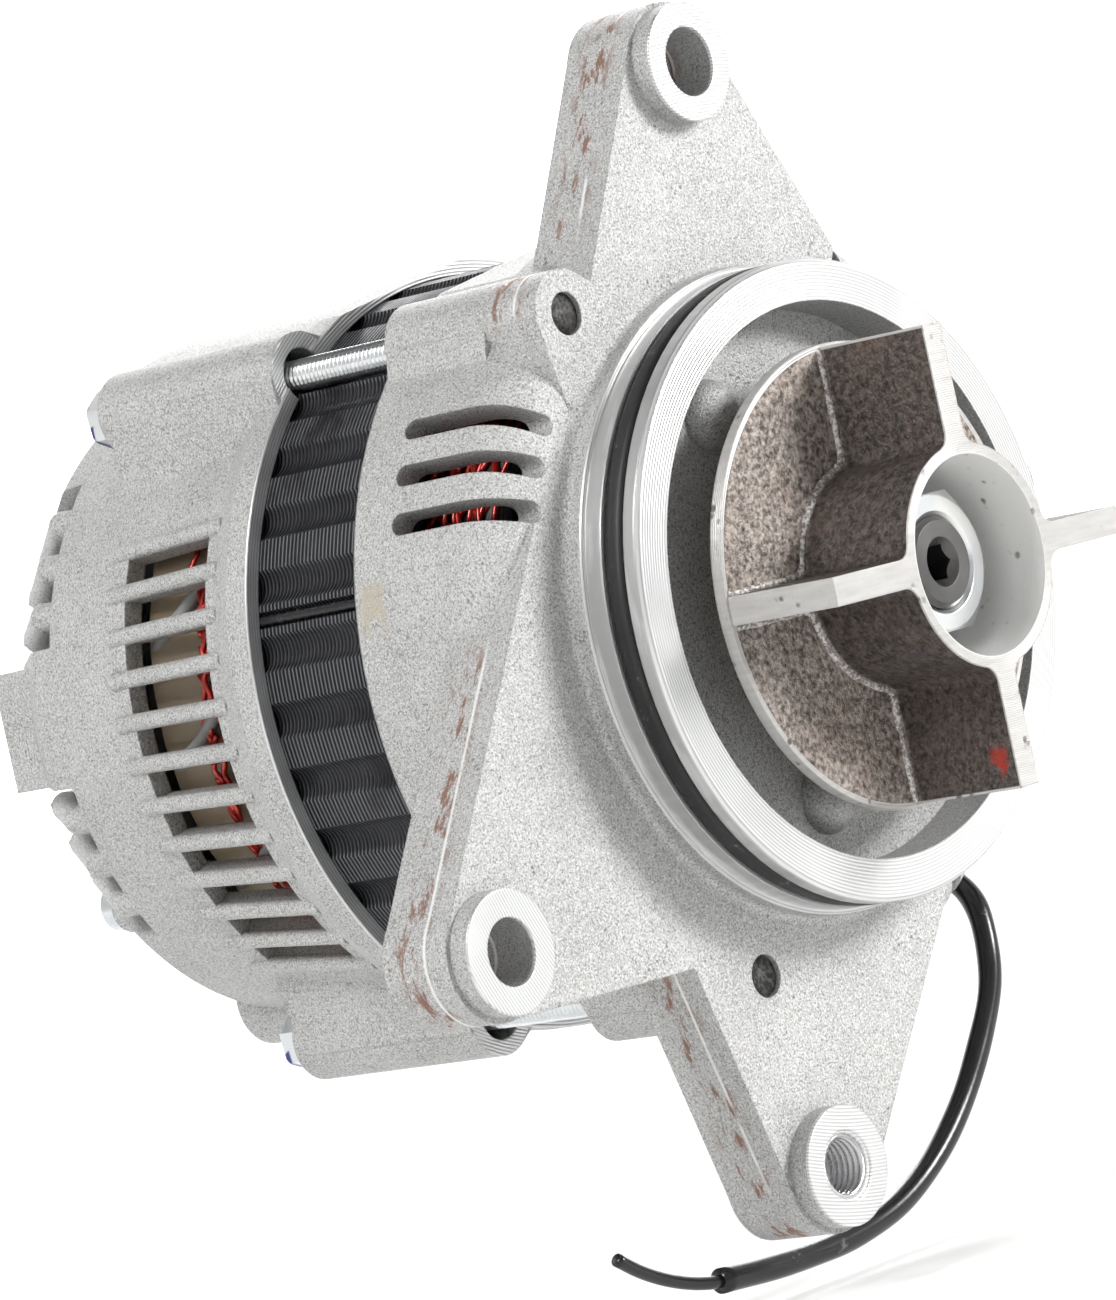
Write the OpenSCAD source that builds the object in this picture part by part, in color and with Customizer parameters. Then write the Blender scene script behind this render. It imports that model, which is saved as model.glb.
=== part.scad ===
// Engine-driven alternator with a round pilot, three mounting ears and a four-vane drive coupling.
// The shaft lies along Y with its drive end towards -Y, and the plain upper ear points to +Z.
// The origin is on the shaft axis in the plane of the machined ear faces.

/* [Pilot and recess] */
// Diameter of the pilot that seats in the engine cover
pilot_d = 113; // [110:0.5:115]
// Height of the pilot in front of the ear faces
pilot_h = 12; // [11:0.5:13]
// Width of the machined land in front of the ring groove
land_w = 3.2; // [2.5:0.1:4]
// Width of the ring groove
groove_w = 5; // [4.4:0.1:5.4]
// Depth of the ring groove
groove_depth = 3.1; // [2.8:0.1:3.4]
// Width of the rubber ring, squeezed flat in its groove
ring_w = 4.4; // [4:0.1:4.6]
// Diameter of the recess inside the pilot
recess_d = 98; // [95:0.5:100]
// Depth of the recess
recess_depth = 10; // [9:0.5:10.5]

/* [Brackets] */
// Outside diameter of the front bracket
front_d = 142.6; // [141:0.2:146]
// Outside diameter of the rear bracket at its rim
rear_d = 141; // [140:0.2:144]
// Wall of both brackets
wall = 4.2; // [3.6:0.1:4.6]
// Distance of the flange web behind the ear faces
web_back = 4; // [3:0.5:4.5]
// Distance from the ear faces to the rim of the front bracket
front_len = 40; // [38:0.5:44]
// Length of stator left bare between the brackets
bare_len = 27; // [24:0.5:30]
// Distance from the ear faces to the rear face
body_len = 146; // [145:0.5:150]
// Radius of the shoulder of the front bracket
front_round = 11.5; // [10:0.5:12]
// Diameter of the rear bracket just before its rear shoulder
rear_small_d = 122; // [120:0.5:124]
// Length of the bevelled rear shoulder along the shaft
rear_bevel = 13.5; // [12:0.5:14.5]
// Diameter of the flat rear face
rear_face_d = 101; // [99:1:103]

/* [Ears] */
// Distance of the upper ear's hole from the shaft
ear_a_reach = 94; // [90:0.5:98]
// Distance of the side ear's hole from the shaft
ear_b_reach = 104; // [100:0.5:108]
// Direction of the side ear's hole
ear_b_angle = 206.3; // [204:0.1:209]
// Distance of the lower ear's hole from the shaft
ear_c_reach = 101; // [98:0.5:105]
// Direction of the lower ear's hole
ear_c_angle = 257.9; // [256:0.1:260]
// Radius of the ear's rounded end
ear_r = 11.5; // [11:0.1:12.5]
// Radius of the raised face round each ear hole
ear_face_r = 10.6; // [10:0.1:11]
// Thickness of each ear from its raised face
ear_t = 18.5; // [16:0.5:19]
// Diameter of the plain hole in the side ear
ear_hole_d = 11.6; // [10.5:0.1:12]
// Diameter of the hole in the upper ear
bush_hole_d = 12.4; // [12:0.1:13]
// Bore of the steel bush in the upper ear
bush_bore_d = 10.5; // [10.2:0.1:10.8]
// Length of the steel bush
bush_len = 9; // [7:0.5:12]
// Bore of the threaded hole in the lower ear
tapped_d = 10.8; // [10.2:0.1:11]

/* [Through bolts] */
// Distance of the through bolts from the shaft
bolt_reach = 69; // [68.6:0.1:69.8]
// Direction of the first through bolt
bolt_angle = 126.9; // [125:0.1:129]
// Diameter of the through bolts
bolt_d = 6; // [5.6:0.1:6]
// Across flats of the bolt heads
bolt_af = 10; // [9:0.5:10]
// Height of the bolt heads
bolt_head_h = 4.2; // [3.8:0.1:5]
// Radius of the bolt bosses
bolt_boss_r = 7.8; // [7.4:0.1:8.2]
// Distance from the ear faces to the seat of the bolt heads
bolt_seat_y = 112; // [110:0.5:114]
// Diameter of the core holes in front of the bolt threads
bolt_core_d = 7.6; // [7:0.1:8]

/* [Vents] */
// Angle from one side vent to the next
vent_pitch = 7.05; // [6.9:0.05:7.2]
// Width of the front vents
front_vent_w = 3.9; // [3.4:0.1:4.4]
// Width of the side vents of the rear bracket
side_vent_w = 5.3; // [4.8:0.1:5.5]
// Start of the side vents behind the ear faces
side_vent_y = 82; // [81:0.5:84]
// Length of the side vents
side_vent_len = 23; // [18:0.5:24]
// Height of the ribs between the side vents
rib_h = 1.2; // [0.8:0.1:1.4]
// Angle from one rear vent to the next
rear_vent_pitch = 9; // [8.8:0.1:9]
// Width of the rear vents
rear_vent_w = 4; // [3.4:0.1:4.4]
// Start of the rear vents before the rear face
rear_vent_len = 19; // [16:0.5:20]

/* [Stator] */
// Outside diameter of the stator stack
stator_d = 134.8; // [134:0.1:135]
// Bore of the stator stack
stator_bore = 100.6; // [100.2:0.1:101.4]
// Depth to which the stack sits in each bracket
seat_depth = 3; // [2.5:0.5:4]
// Depth of the flutes on the stack
flute_depth = 1.6; // [1:0.1:1.8]
// Width of the flutes on the stack
flute_w = 6.4; // [5.4:0.1:7]
// Number of flutes, and of winding slots
slots = 36; // [36:12:36]
// Width of the winding slots
slot_w = 4.6; // [4:0.1:5]
// Diameter of the bottom of the winding slots
slot_d = 120; // [118:0.5:121]
// Reach of the winding heads past the stack
head_len = 19.5; // [12:0.5:19.5]

/* [Drive coupling] */
// Diameter of the coupling disc
disc_d = 82; // [78:0.5:86]
// Thickness of the coupling disc
disc_t = 2.2; // [2:0.1:2.6]
// Distance from the ear faces forward to the back of the disc
disc_gap = 14.6; // [14:0.1:15.5]
// Distance from the ear faces forward to the front of the vanes
vane_front = 40; // [38.5:0.5:44]
// Thickness of the vanes
vane_t = 5; // [4.4:0.1:5.4]
// Outside diameter of the coupling hub
hub_d = 39; // [37.5:0.5:42]
// Bore of the coupling hub round the nut
hub_bore = 35; // [32.5:0.5:35.5]
// Radius of the fillets between vanes and hub
vane_fillet = 3; // [2:0.25:4]

/* [Shaft and nut] */
// Diameter of the shaft in the front bearing
shaft_d = 17; // [16.6:0.2:17.4]
// Diameter of the threaded front end
thread_d = 16; // [15.4:0.2:16]
// Across flats of the coupling nut
nut_af = 24; // [22:0.5:25]
// Height of the coupling nut
nut_h = 12.8; // [11:0.1:13.4]
// Thickness of the washer under the nut
washer_t = 2; // [1.6:0.1:2.2]
// How far the shaft stands out of the nut
shaft_proud = 0.5; // [0.3:0.1:2]
// Across flats of the socket in the shaft end
socket_af = 6; // [5:0.5:8]

/* [Bearings] */
// Outside diameter of the front bearing
front_brg_d = 47; // [46:0.5:48]
// Width of the front bearing
front_brg_w = 14; // [13:0.5:14.5]
// Outside diameter of the rear bearing
rear_brg_d = 35; // [34:0.5:36]
// Bore of the rear bearing
rear_brg_bore = 15; // [14.6:0.2:15.4]
// Width of the rear bearing
rear_brg_w = 11; // [10:0.5:11.5]
// Number of balls in the front bearing
front_balls = 7; // [6:1:7]
// Number of balls in the rear bearing
rear_balls = 8; // [6:1:8]

/* [Rotor] */
// Gap between the rotor poles and the stator bore
air_gap = 0.5; // [0.4:0.05:0.8]
// Number of fingers on each pole piece
fingers = 6; // [6:1:6]
// Thickness of each pole piece's disc
pole_t = 9; // [8:0.5:10]
// Diameter of the core between the pole pieces
core_d = 48; // [44:0.5:52]
// Diameter of the shaft through the rotor
rotor_shaft_d = 20; // [19:0.5:22]
// Diameter of the field coil
coil_d = 78; // [72:0.5:79]
// Number of blades on each fan
blades = 10; // [8:1:11]
// Height of the fan blades
blade_h = 9.4; // [8:0.2:9.8]

/* [Slip rings and brushes] */
// Diameter of the slip rings
slip_d = 29; // [27:0.5:31]
// Width of each slip ring
slip_w = 7; // [6.6:0.2:7.4]
// Distance from the ear faces to the first slip ring
slip_y = 93; // [92:0.5:95]
// Distance between the two slip rings' centres
slip_pitch = 11; // [10.5:0.5:12]
// Width and thickness of each brush
brush_s = 5; // [4.4:0.1:5.4]
// Length of each brush
brush_len = 14; // [12:0.5:15]
// How far a brush can lift off its ring
brush_lift = 4; // [3:0.5:4.5]

/* [Rectifier and terminals] */
// Thickness of the rectifier plates
plate_t = 4; // [3:0.5:4.5]
// Distance from the ear faces to the first rectifier plate
plate_y = 105; // [104:0.5:106]
// Gap between the rectifier plates
plate_gap = 6.5; // [6:0.5:8]
// Radius of the diodes
diode_r = 6; // [5:0.25:6.5]
// Height of the diodes
diode_h = 5; // [4:0.25:5.5]
// Diameter of the output stud where its nut holds it
stud_d = 8; // [7:0.5:8]
// Diameter of the output stud's end, which takes the cable
terminal_d = 6; // [5:0.5:6]
// How far the output stud stands behind the rear face
stud_proud = 20; // [18:0.5:24]

/* [Output lead] */
// Diameter of the sleeve over the lead
sleeve_d = 4.6; // [4:0.2:5]
// Diameter of the wire inside the sleeve
wire_d = 2.4; // [2:0.2:2.8]

/* [Hidden] */

// Clearances
fit_gap = 0.1;
part_gap = 0.3;
run_gap = 0.05;

// Pilot and recess
pilot_r = pilot_d / 2;
recess_r = recess_d / 2;
groove_r = pilot_r - groove_depth;
floor_y = recess_depth - pilot_h;
edge = 0.8;
root_r = 1.5;
ring_r = groove_depth / 2 - run_gap;
bump_r = 5.5;
bump_reach = 37.5;
bump_angles = [118, 256.5];

// Brackets
front_r = front_d / 2;
rear_r = rear_d / 2;
rear_small_r = rear_small_d / 2;
seat_r = stator_d / 2 + fit_gap;
ledge_r = stator_d / 2 - 1.2;
rear_rim_y = front_len + bare_len;
stack_front = front_len - seat_depth;
stack_rear = rear_rim_y + seat_depth;
stack_mid = (stack_front + stack_rear) / 2;
flat_angle = 100;
flat_reach = seat_r + 0.8;
neck_len = 5;
neck_slope = 8;
rear_neck_r = rear_r - 4.6;
rear_wall_y = body_len - wall;
rear_shoulder_y = body_len - rear_bevel;
rear_face_r = rear_face_d / 2;
bevel_tilt = atan2(rear_small_r - rear_face_r, rear_bevel);
bevel_in = wall * (1 - sin(bevel_tilt)) / cos(bevel_tilt);
corner_r = 5;
web_side = 15;
web_top = 6.3;
web_rise = 5;

// Bearings
front_brg_r = front_brg_d / 2;
rear_brg_r = rear_brg_d / 2;
front_brg_y = 4.5;
front_brg_end = front_brg_y + front_brg_w;
housing_r = front_brg_r + 7.5;
housing_end = front_brg_end + 0.5;
rear_brg_end = body_len - 6;
rear_brg_y = rear_brg_end - rear_brg_w;
rear_housing_r = rear_brg_r + 5.5;
race_t = 3.5;
ball_gap = 0.15;

// Seal and collar
seal_r = 16;
seal_len = 5;
collar_r = 11;
retainer_t = 2;
retainer_bore = 18.5;
screw_reach = housing_r - 3.5;
screw_r = 1.7;

// Through bolts
bolt_r = bolt_d / 2;
bolt_angles = [bolt_angle, bolt_angle + 120, bolt_angle + 240];
bolt_clear_r = bolt_r + 0.4;
bolt_tip_y = 12;
bolt_solid_y = 20;
rim_step = 0.3;
spring_washer_t = 1.6;
spring_washer_r = 4.9;

// Ears
ear_inset = 0.15;
ear_a = [0, ear_a_reach];
ear_b = [ear_b_reach * cos(ear_b_angle), ear_b_reach * sin(ear_b_angle)];
ear_c = [ear_c_reach * cos(ear_c_angle), ear_c_reach * sin(ear_c_angle)];

// Vents
front_vent_start = 144.4;
front_vent_groups = [[front_vent_start, 3], [30, 5], [299, 5]];
front_vent_in = 62.5;
front_vent_end = 31;
bolt_pocket_r = 4.9;
bolt_pocket_len = 9;
side_vent_start = 154.3;
side_vent_groups = [[side_vent_start, 11], [269.3, 5], [330.7, 3], [34.3, 6]];
rear_vent_groups = [[135, 4], [190, 4], [261, 5], [0, 6]];
rear_vent_in = 40;
rear_vent_y = body_len - rear_vent_len;
rib_tail = 5.5;
rib_r = 1.6;
fin_r = (rear_small_r * rear_vent_pitch * PI / 180 - rear_vent_w) / 2;
fin_inset = fin_r - 0.15;
fin_web = 2.8;
joint_swell = 0.08;
lump_angle = 257;
lump_r = 9;
block_reach = 57;
block_w = 22;
slit_w = 1;

// Stator
stator_r = stator_d / 2;
slot_r = slot_d / 2;
flute_start = 2.6;
flute_r = (flute_w * flute_w / 4 + flute_depth * flute_depth) / (2 * flute_depth);
weld_angles = [167.5, 287.5, 47.5];
head_in = stator_bore / 2 + 2;
head_out = slot_r - 0.4;

// Drive coupling
disc_r = disc_d / 2;
disc_back = -disc_gap;
disc_front = disc_back - disc_t;
vane_y = -vane_front;
hub_r = hub_d / 2;
hub_in_r = hub_bore / 2;
hub_floor = disc_front + 0.4;
boss_r = 15;
boss_back = floor_y - 1;
key_w = 5;
key_h = 5;

// Shaft and nut
shaft_r = shaft_d / 2;
thread_r = thread_d / 2;
nut_back = hub_floor - washer_t;
nut_front = nut_back - nut_h;
shaft_front = nut_front - shaft_proud;
shoulder_y = front_brg_end;
shoulder_r = 11;
rotor_shaft_r = rotor_shaft_d / 2;
rear_shaft_r = rear_brg_bore / 2;
sleeve_seat_r = 8.5;

// Rotor
pole_r = stator_bore / 2 - air_gap;
pole_front = stack_front - 1;
pole_rear = stack_rear + 1;
finger_root = 34;
finger_tip = 13;
finger_tip_t = 3.6;
finger_root_t = 9.2;
pole_disc_r = 38;
core_r = core_d / 2;
bobbin_t = 1.4;
coil_r = coil_d / 2;
fan_t = 1.6;
fan_r = 48.5;
fan_hole_r = rotor_shaft_r + part_gap;
blade_t = 1.4;

// Slip rings and brushes
slip_r = slip_d / 2;
slip_in_r = slip_r - 2.5;
sleeve_front = slip_y - 3;
sleeve_rear = slip_y + slip_pitch + slip_w + 3;
ring_mid = slip_y + slip_w / 2;
brush_mids = [ring_mid, ring_mid + slip_pitch];
brush_angle = 90;
brush_base = slip_r + part_gap;
holder_base = slip_r + 2;
holder_top = 44;
holder_wall = 2;
spring_top = holder_top - holder_wall;

// Rectifier
plate_in = 24;
plate_out = 52.5;
arc_start = 141;
arc_end = 399;
second_plate_y = plate_y + plate_t + plate_gap;
rear_screw_reach = 47.5;
plate_screw_angles = [224.5, 345.5];
holder_screw_angles = [74.5, 105.5];
rear_screw_angles = concat(plate_screw_angles, holder_screw_angles);
rear_screw_r = 2.4;
post_len = 6;
pad_h = 0.6;
screw_seat_y = body_len + pad_h;
post_y = rear_wall_y - post_len;
holder_rear = sleeve_rear;
holder_wing = 17;
wing_t = 8;
spacer_r = 4.4;
board_len = 14;
board_in = 41;
board_out = 57.5;
diode_angles = [158, 182, 206, 250];
diode_reach = 38;
stud_angle = 315;
stud_reach = 40;
stud_r = stud_d / 2;
stud_seat_y = body_len + 4;
stud_nut_h = stud_d * 0.8;
insulator_r = 8;

// Output lead
lead_angle = 315;
lead_y = 97;
grommet_r = 5;
lead_exit = 50.2;
lead_reach = lead_exit * sqrt(2);
grommet_seat = lead_reach - 4;

// Route of the lead from its grommet to the mouth of the sleeve, and on to the wire's end
sleeve_route = [[50.2, 97, -50.2], [53.2, 97, -53.2], [57, 95, -55.5], [60.5, 89, -56.5], [63.5, 80, -56.5],
    [65.5, 68, -56], [66.5, 57, -56.5], [66.5, 46, -57.5], [65.5, 36, -60], [63.5, 29, -64.5],
    [61, 25.5, -71], [57.5, 24, -80.5], [51, 24, -90], [42, 24, -99.5], [31, 24, -107.5],
    [19, 24, -112.8], [6, 24, -115.4], [-7, 24, -116], [-20, 24, -115.6], [-33, 24, -114.6]];
wire_route = [[-33, 24, -114.6], [-38, 24, -113.8], [-43, 24, -112.4], [-48, 24, -110.5],
    [-53, 24, -108], [-58, 24, -104.8]];
cord_sides = 8;

// Smoothness
round_fn = 96;
small_fn = 32;

// Points along an arc of radius r about c, from angle a to angle b
function arc(c, r, a, b, n = 8) = [for (i = [0:n])
    c + r * [cos(a + (b - a) * i / n), sin(a + (b - a) * i / n)]];
// Point at a reach and angle in the X and Z plane
function polar(reach, angle) = [reach * cos(angle), reach * sin(angle)];
// Point where the tangent from p meets a circle at c, on the side given by the sign s
function touch(p, c, r, s) = let (d = p - c, a = atan2(d[1], d[0]), b = acos(r / norm(d)))
    c + polar(r, a + s * b);
// Radius of the rear bracket's outside at a place along the shaft
function rear_out(y) = rear_neck_r + (rear_small_r - rear_neck_r) * (y - side_vent_y)
    / (rear_shoulder_y - side_vent_y);

// A profile of radius and place along the shaft, turned about the shaft
module turned() rotate([-90, 0, 0]) rotate_extrude($fn = round_fn) children();
// A round bar along the shaft direction
module bar(r, y0, y1, fn = round_fn) translate([0, y0, 0]) rotate([-90, 0, 0])
    cylinder(r = r, h = y1 - y0, $fn = fn);
// An outline of X and Z, as thick as from y0 to y1
module plate(y0, y1) translate([0, y1, 0]) rotate([90, 0, 0]) linear_extrude(y1 - y0) children();
// Children drawn along +X are turned to an angle in the X and Z plane
module at_angle(a) rotate([0, -a, 0]) children();
// Children drawn about the shaft line are moved out to a reach and angle
module out_at(reach, a) at_angle(a) translate([reach, 0, 0]) children();
// A tube about the shaft
module tube(r_out, r_in, y0, y1) turned() translate([r_in, y0]) square([r_out - r_in, y1 - y0]);
// A hexagonal bar along the shaft direction
module hex_bar(af, y0, y1) bar(af / 2 / cos(30), y0, y1, 6);
// A slab across the shaft direction at an angle, of a width, between two reaches and two places
module radial_slab(a, w, r0, r1, y0, y1) at_angle(a) translate([r0, y0, -w / 2])
    cube([r1 - r0, y1 - y0, w]);
// A sector outline between two angles
module sector(r_out, r_in, a0, a1, n = 24)
    polygon(concat(arc([0, 0], r_out, a0, a1, n), arc([0, 0], r_in, a1, a0, n)));

// Outside of the front bracket as a turned form
module front_form() turned() polygon(concat(
    [[0, -pilot_h], [pilot_r - edge, -pilot_h], [pilot_r, edge - pilot_h], [pilot_r, land_w - pilot_h],
        [groove_r, land_w - pilot_h], [groove_r, land_w + groove_w - pilot_h],
        [pilot_r, land_w + groove_w - pilot_h], [pilot_r, 0], [pilot_r + 0.8, 0],
            [pilot_r + 0.8, web_back - root_r]],
    arc([pilot_r + 0.8 + root_r, web_back - root_r], root_r, 180, 90, 4),
    arc([front_r - front_round, web_back + front_round], front_round, -90, 0),
    [[front_r, front_len], [0, front_len]]));

// Space inside the front bracket
module front_cavity() turned() polygon(concat(
    [[0, floor_y + wall + 0.4], [recess_r - 5, floor_y + wall + 0.4], [recess_r + 1, web_back + wall]],
    arc([front_r - front_round, web_back + front_round], ledge_r - front_r + front_round, -90, 0),
    [[ledge_r, stack_front], [seat_r, stack_front], [seat_r, front_len + 1], [0, front_len + 1]]));

// One ear with its rounded end, from the two points where it leaves the body
module ear_plate(c, left, right) union() {
    plate(web_back, ear_t) union() {
        polygon([left, touch(left, c, ear_r - ear_inset, -1), c, touch(right, c, ear_r - ear_inset, 1),
            right, [0, 0]]);
        translate(c) circle(r = ear_r, $fn = small_fn * 2);
    }
    translate([c[0], 0, c[1]]) bar(ear_face_r, 0, web_back + 1, small_fn * 2);
}

// Web that blends a bolt boss into the side of a bracket, up to a reach and as wide as a base
module boss_web(a, base, side, y0, y1) plate(y0, y1) rotate(a) polygon([
    [base - 8, -side], [base, -side], [bolt_reach + web_rise, -web_top], [bolt_reach + web_rise, web_top],
    [base, side], [base - 8, side]]);

// The three ears
module ears() {
    ear_plate(ear_a, [-33.5, 60], [33.5, 57]);
    ear_plate(ear_b, [-44, -58.5], [-60.5, 22]);
    ear_plate(ear_c, [26.5, -59], [-45, -58.5]);
}

// One vent that wraps over the shoulder of the front bracket
module front_vent(a) {
    half = front_vent_w / 2;
    radial_slab(a, front_vent_w, front_vent_in + half, front_r + 5, -1, front_vent_end - half);
    out_at(front_vent_in + half, a) bar(half, -1, bolt_solid_y, small_fn);
    at_angle(a) translate([front_vent_in + half, front_vent_end - half, 0]) rotate([0, 90, 0])
        cylinder(r = half, h = 20, $fn = small_fn);
}

module front_bracket() color("silver") difference() {
    union() {
        difference() {
            union() {
                front_form();
                ears();
                for (a = bolt_angles) {
                    out_at(bolt_reach, a) bar(bolt_boss_r, web_back, front_len - rim_step, small_fn * 2);
                    boss_web(a, pilot_r - 1, web_side, web_back, bolt_solid_y);
                    boss_web(a, ledge_r - 1.6, web_side + 2, bolt_solid_y - 4, front_len - 2 * rim_step);
                }
            }
            front_cavity();
            translate([0, -pilot_h, 0]) bar(recess_r, -1, recess_depth);
            at_angle(flat_angle) translate([flat_reach, bolt_solid_y + 2, -22]) cube([20, front_len, 44]);
        }
        for (a = bolt_angles) out_at(bolt_reach, a) bar(bolt_boss_r, web_back, bolt_solid_y, small_fn * 2);
        tube(housing_r, seal_r, floor_y, housing_end);
        for (a = bump_angles) out_at(bump_reach, a) intersection() {
            translate([0, floor_y + 3, 0]) sphere(r = bump_r + 0.7, $fn = small_fn);
            bar(bump_r + 1, floor_y - 2.6, floor_y + 1, small_fn);
        }
    }
    bar(seal_r, floor_y - 1, front_brg_y + 1);
    bar(front_brg_r, front_brg_y, housing_end + 1);
    for (a = bolt_angles) out_at(bolt_reach, a) {
        bar(bolt_core_d / 2, 0, bolt_tip_y, small_fn);
        bar(bolt_r + run_gap, bolt_tip_y - 1, bolt_solid_y, small_fn);
        bar(bolt_clear_r, bolt_solid_y, front_len + 1, small_fn);
    }
    translate([ear_a[0], 0, ear_a[1]]) bar(bush_hole_d / 2, -1, ear_t + 1, small_fn * 2);
    translate([ear_b[0], 0, ear_b[1]]) bar(ear_hole_d / 2, -1, ear_t + 1, small_fn * 2);
    translate([ear_c[0], 0, ear_c[1]]) {
        bar(tapped_d / 2, -1, ear_t + 1, small_fn * 2);
        translate([0, -0.01, 0]) rotate([-90, 0, 0])
            cylinder(r1 = tapped_d / 2 + 1, r2 = tapped_d / 2, h = 1, $fn = small_fn * 2);
    }
    for (g = front_vent_groups) for (i = [0:g[1] - 1]) front_vent(g[0] + i * vent_pitch);
    for (i = [0:3]) out_at(screw_reach, 45 + i * 90)
        bar(screw_r, housing_end - 8, housing_end + 1, small_fn);
}

// Rubber ring, whose round section is pressed flat against the bottom and the rear of its groove
module pilot_o_ring() color("black") {
    mid = groove_r + ring_r + run_gap;
    rear = land_w + groove_w - pilot_h - run_gap - ring_r;
    front = rear - ring_w + 2 * ring_r;
    turned() polygon(concat(arc([mid, rear], ring_r, 0, 180, 12), arc([mid, front], ring_r, 180, 360, 12)));
}

module ear_bush() color("gainsboro") translate([ear_a[0], 0, ear_a[1]])
    tube(bush_hole_d / 2 - run_gap, bush_bore_d / 2, ear_t - bush_len, ear_t);

// Outside of the rear bracket as a turned form
module rear_form() turned() polygon(concat(
    [[0, rear_rim_y], [rear_r, rear_rim_y], [rear_r, rear_rim_y + neck_len],
        [rear_out(rear_rim_y + neck_len + neck_slope), rear_rim_y + neck_len + neck_slope]],
    arc([rear_small_r - corner_r, rear_shoulder_y - corner_r * tan(bevel_tilt / 2)], corner_r, 0,
        bevel_tilt, 3),
    arc([rear_face_r - corner_r * tan(45 - bevel_tilt / 2), body_len - corner_r], corner_r, bevel_tilt, 90,
        4),
    [[0, body_len]]));

// Space inside the rear bracket
module rear_cavity() turned() polygon([
    [0, rear_rim_y - 1], [seat_r, rear_rim_y - 1], [seat_r, stack_rear], [ledge_r, stack_rear],
    [ledge_r, rear_rim_y + neck_len],
    [rear_out(rear_rim_y + neck_len + neck_slope) - wall, rear_rim_y + neck_len + neck_slope],
    [rear_small_r - wall, rear_shoulder_y - wall * tan(bevel_tilt / 2)],
    [rear_face_r - bevel_in, rear_wall_y],
    [0, rear_wall_y]]);

// One rib with a round back that stands up between two side vents and runs on to a rounded tail
module side_rib(a) {
    y0 = side_vent_y - 4;
    y1 = side_vent_y + side_vent_len + rib_tail - rib_r;
    slope = atan2(rear_out(side_vent_y) - rear_out(y1), y1 - side_vent_y);
    at_angle(a) translate([rear_out(side_vent_y) + rib_h - rib_r, side_vent_y, 0]) rotate([0, 0, slope]) {
        bar(rib_r, y0 - side_vent_y, y1 - side_vent_y, small_fn);
        translate([0, y1 - side_vent_y, 0]) sphere(r = rib_r + joint_swell, $fn = small_fn);
    }
}

// One group of rear vents as a single opening over the rear shoulder, from an angle on, with a number of vents
module rear_opening(first, count) {
    margin = asin(rear_vent_w / 2 / rear_small_r);
    last = first + (count - 1) * rear_vent_pitch;
    plate(rear_vent_y, body_len + 1) difference() {
        polygon([[0, 0], polar(rear_r * 1.3, first - margin), polar(rear_r * 1.3, (first + last) / 2),
            polar(rear_r * 1.3, last + margin)]);
        circle(r = rear_vent_in, $fn = round_fn);
    }
}

// One fin between two rear vents: a round bar bent over the shoulder and a thin web on the rear face
module rear_fin(a) {
    bend = [rear_small_r - fin_inset, rear_shoulder_y - fin_inset * tan(bevel_tilt / 2)];
    end_y = body_len - fin_r - 0.3;
    end_x = rear_small_r - (end_y - rear_shoulder_y) * tan(bevel_tilt) - fin_inset / cos(bevel_tilt);
    at_angle(a) {
        translate([bend[0], 0, 0]) bar(fin_r, rear_vent_y - 2, bend[1], small_fn);
        translate([bend[0], bend[1], 0]) sphere(r = fin_r + joint_swell, $fn = small_fn);
        translate([bend[0], bend[1], 0]) rotate([0, 0, bevel_tilt])
            bar(fin_r, 0, norm([end_x - bend[0], end_y - bend[1]]), small_fn);
        translate([end_x, end_y, 0]) sphere(r = fin_r + joint_swell, $fn = small_fn);
        translate([rear_vent_in - 2, rear_wall_y + 0.35, -fin_web / 2])
            cube([end_x - rear_vent_in + 3, wall - 0.5, fin_web]);
    }
}

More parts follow.
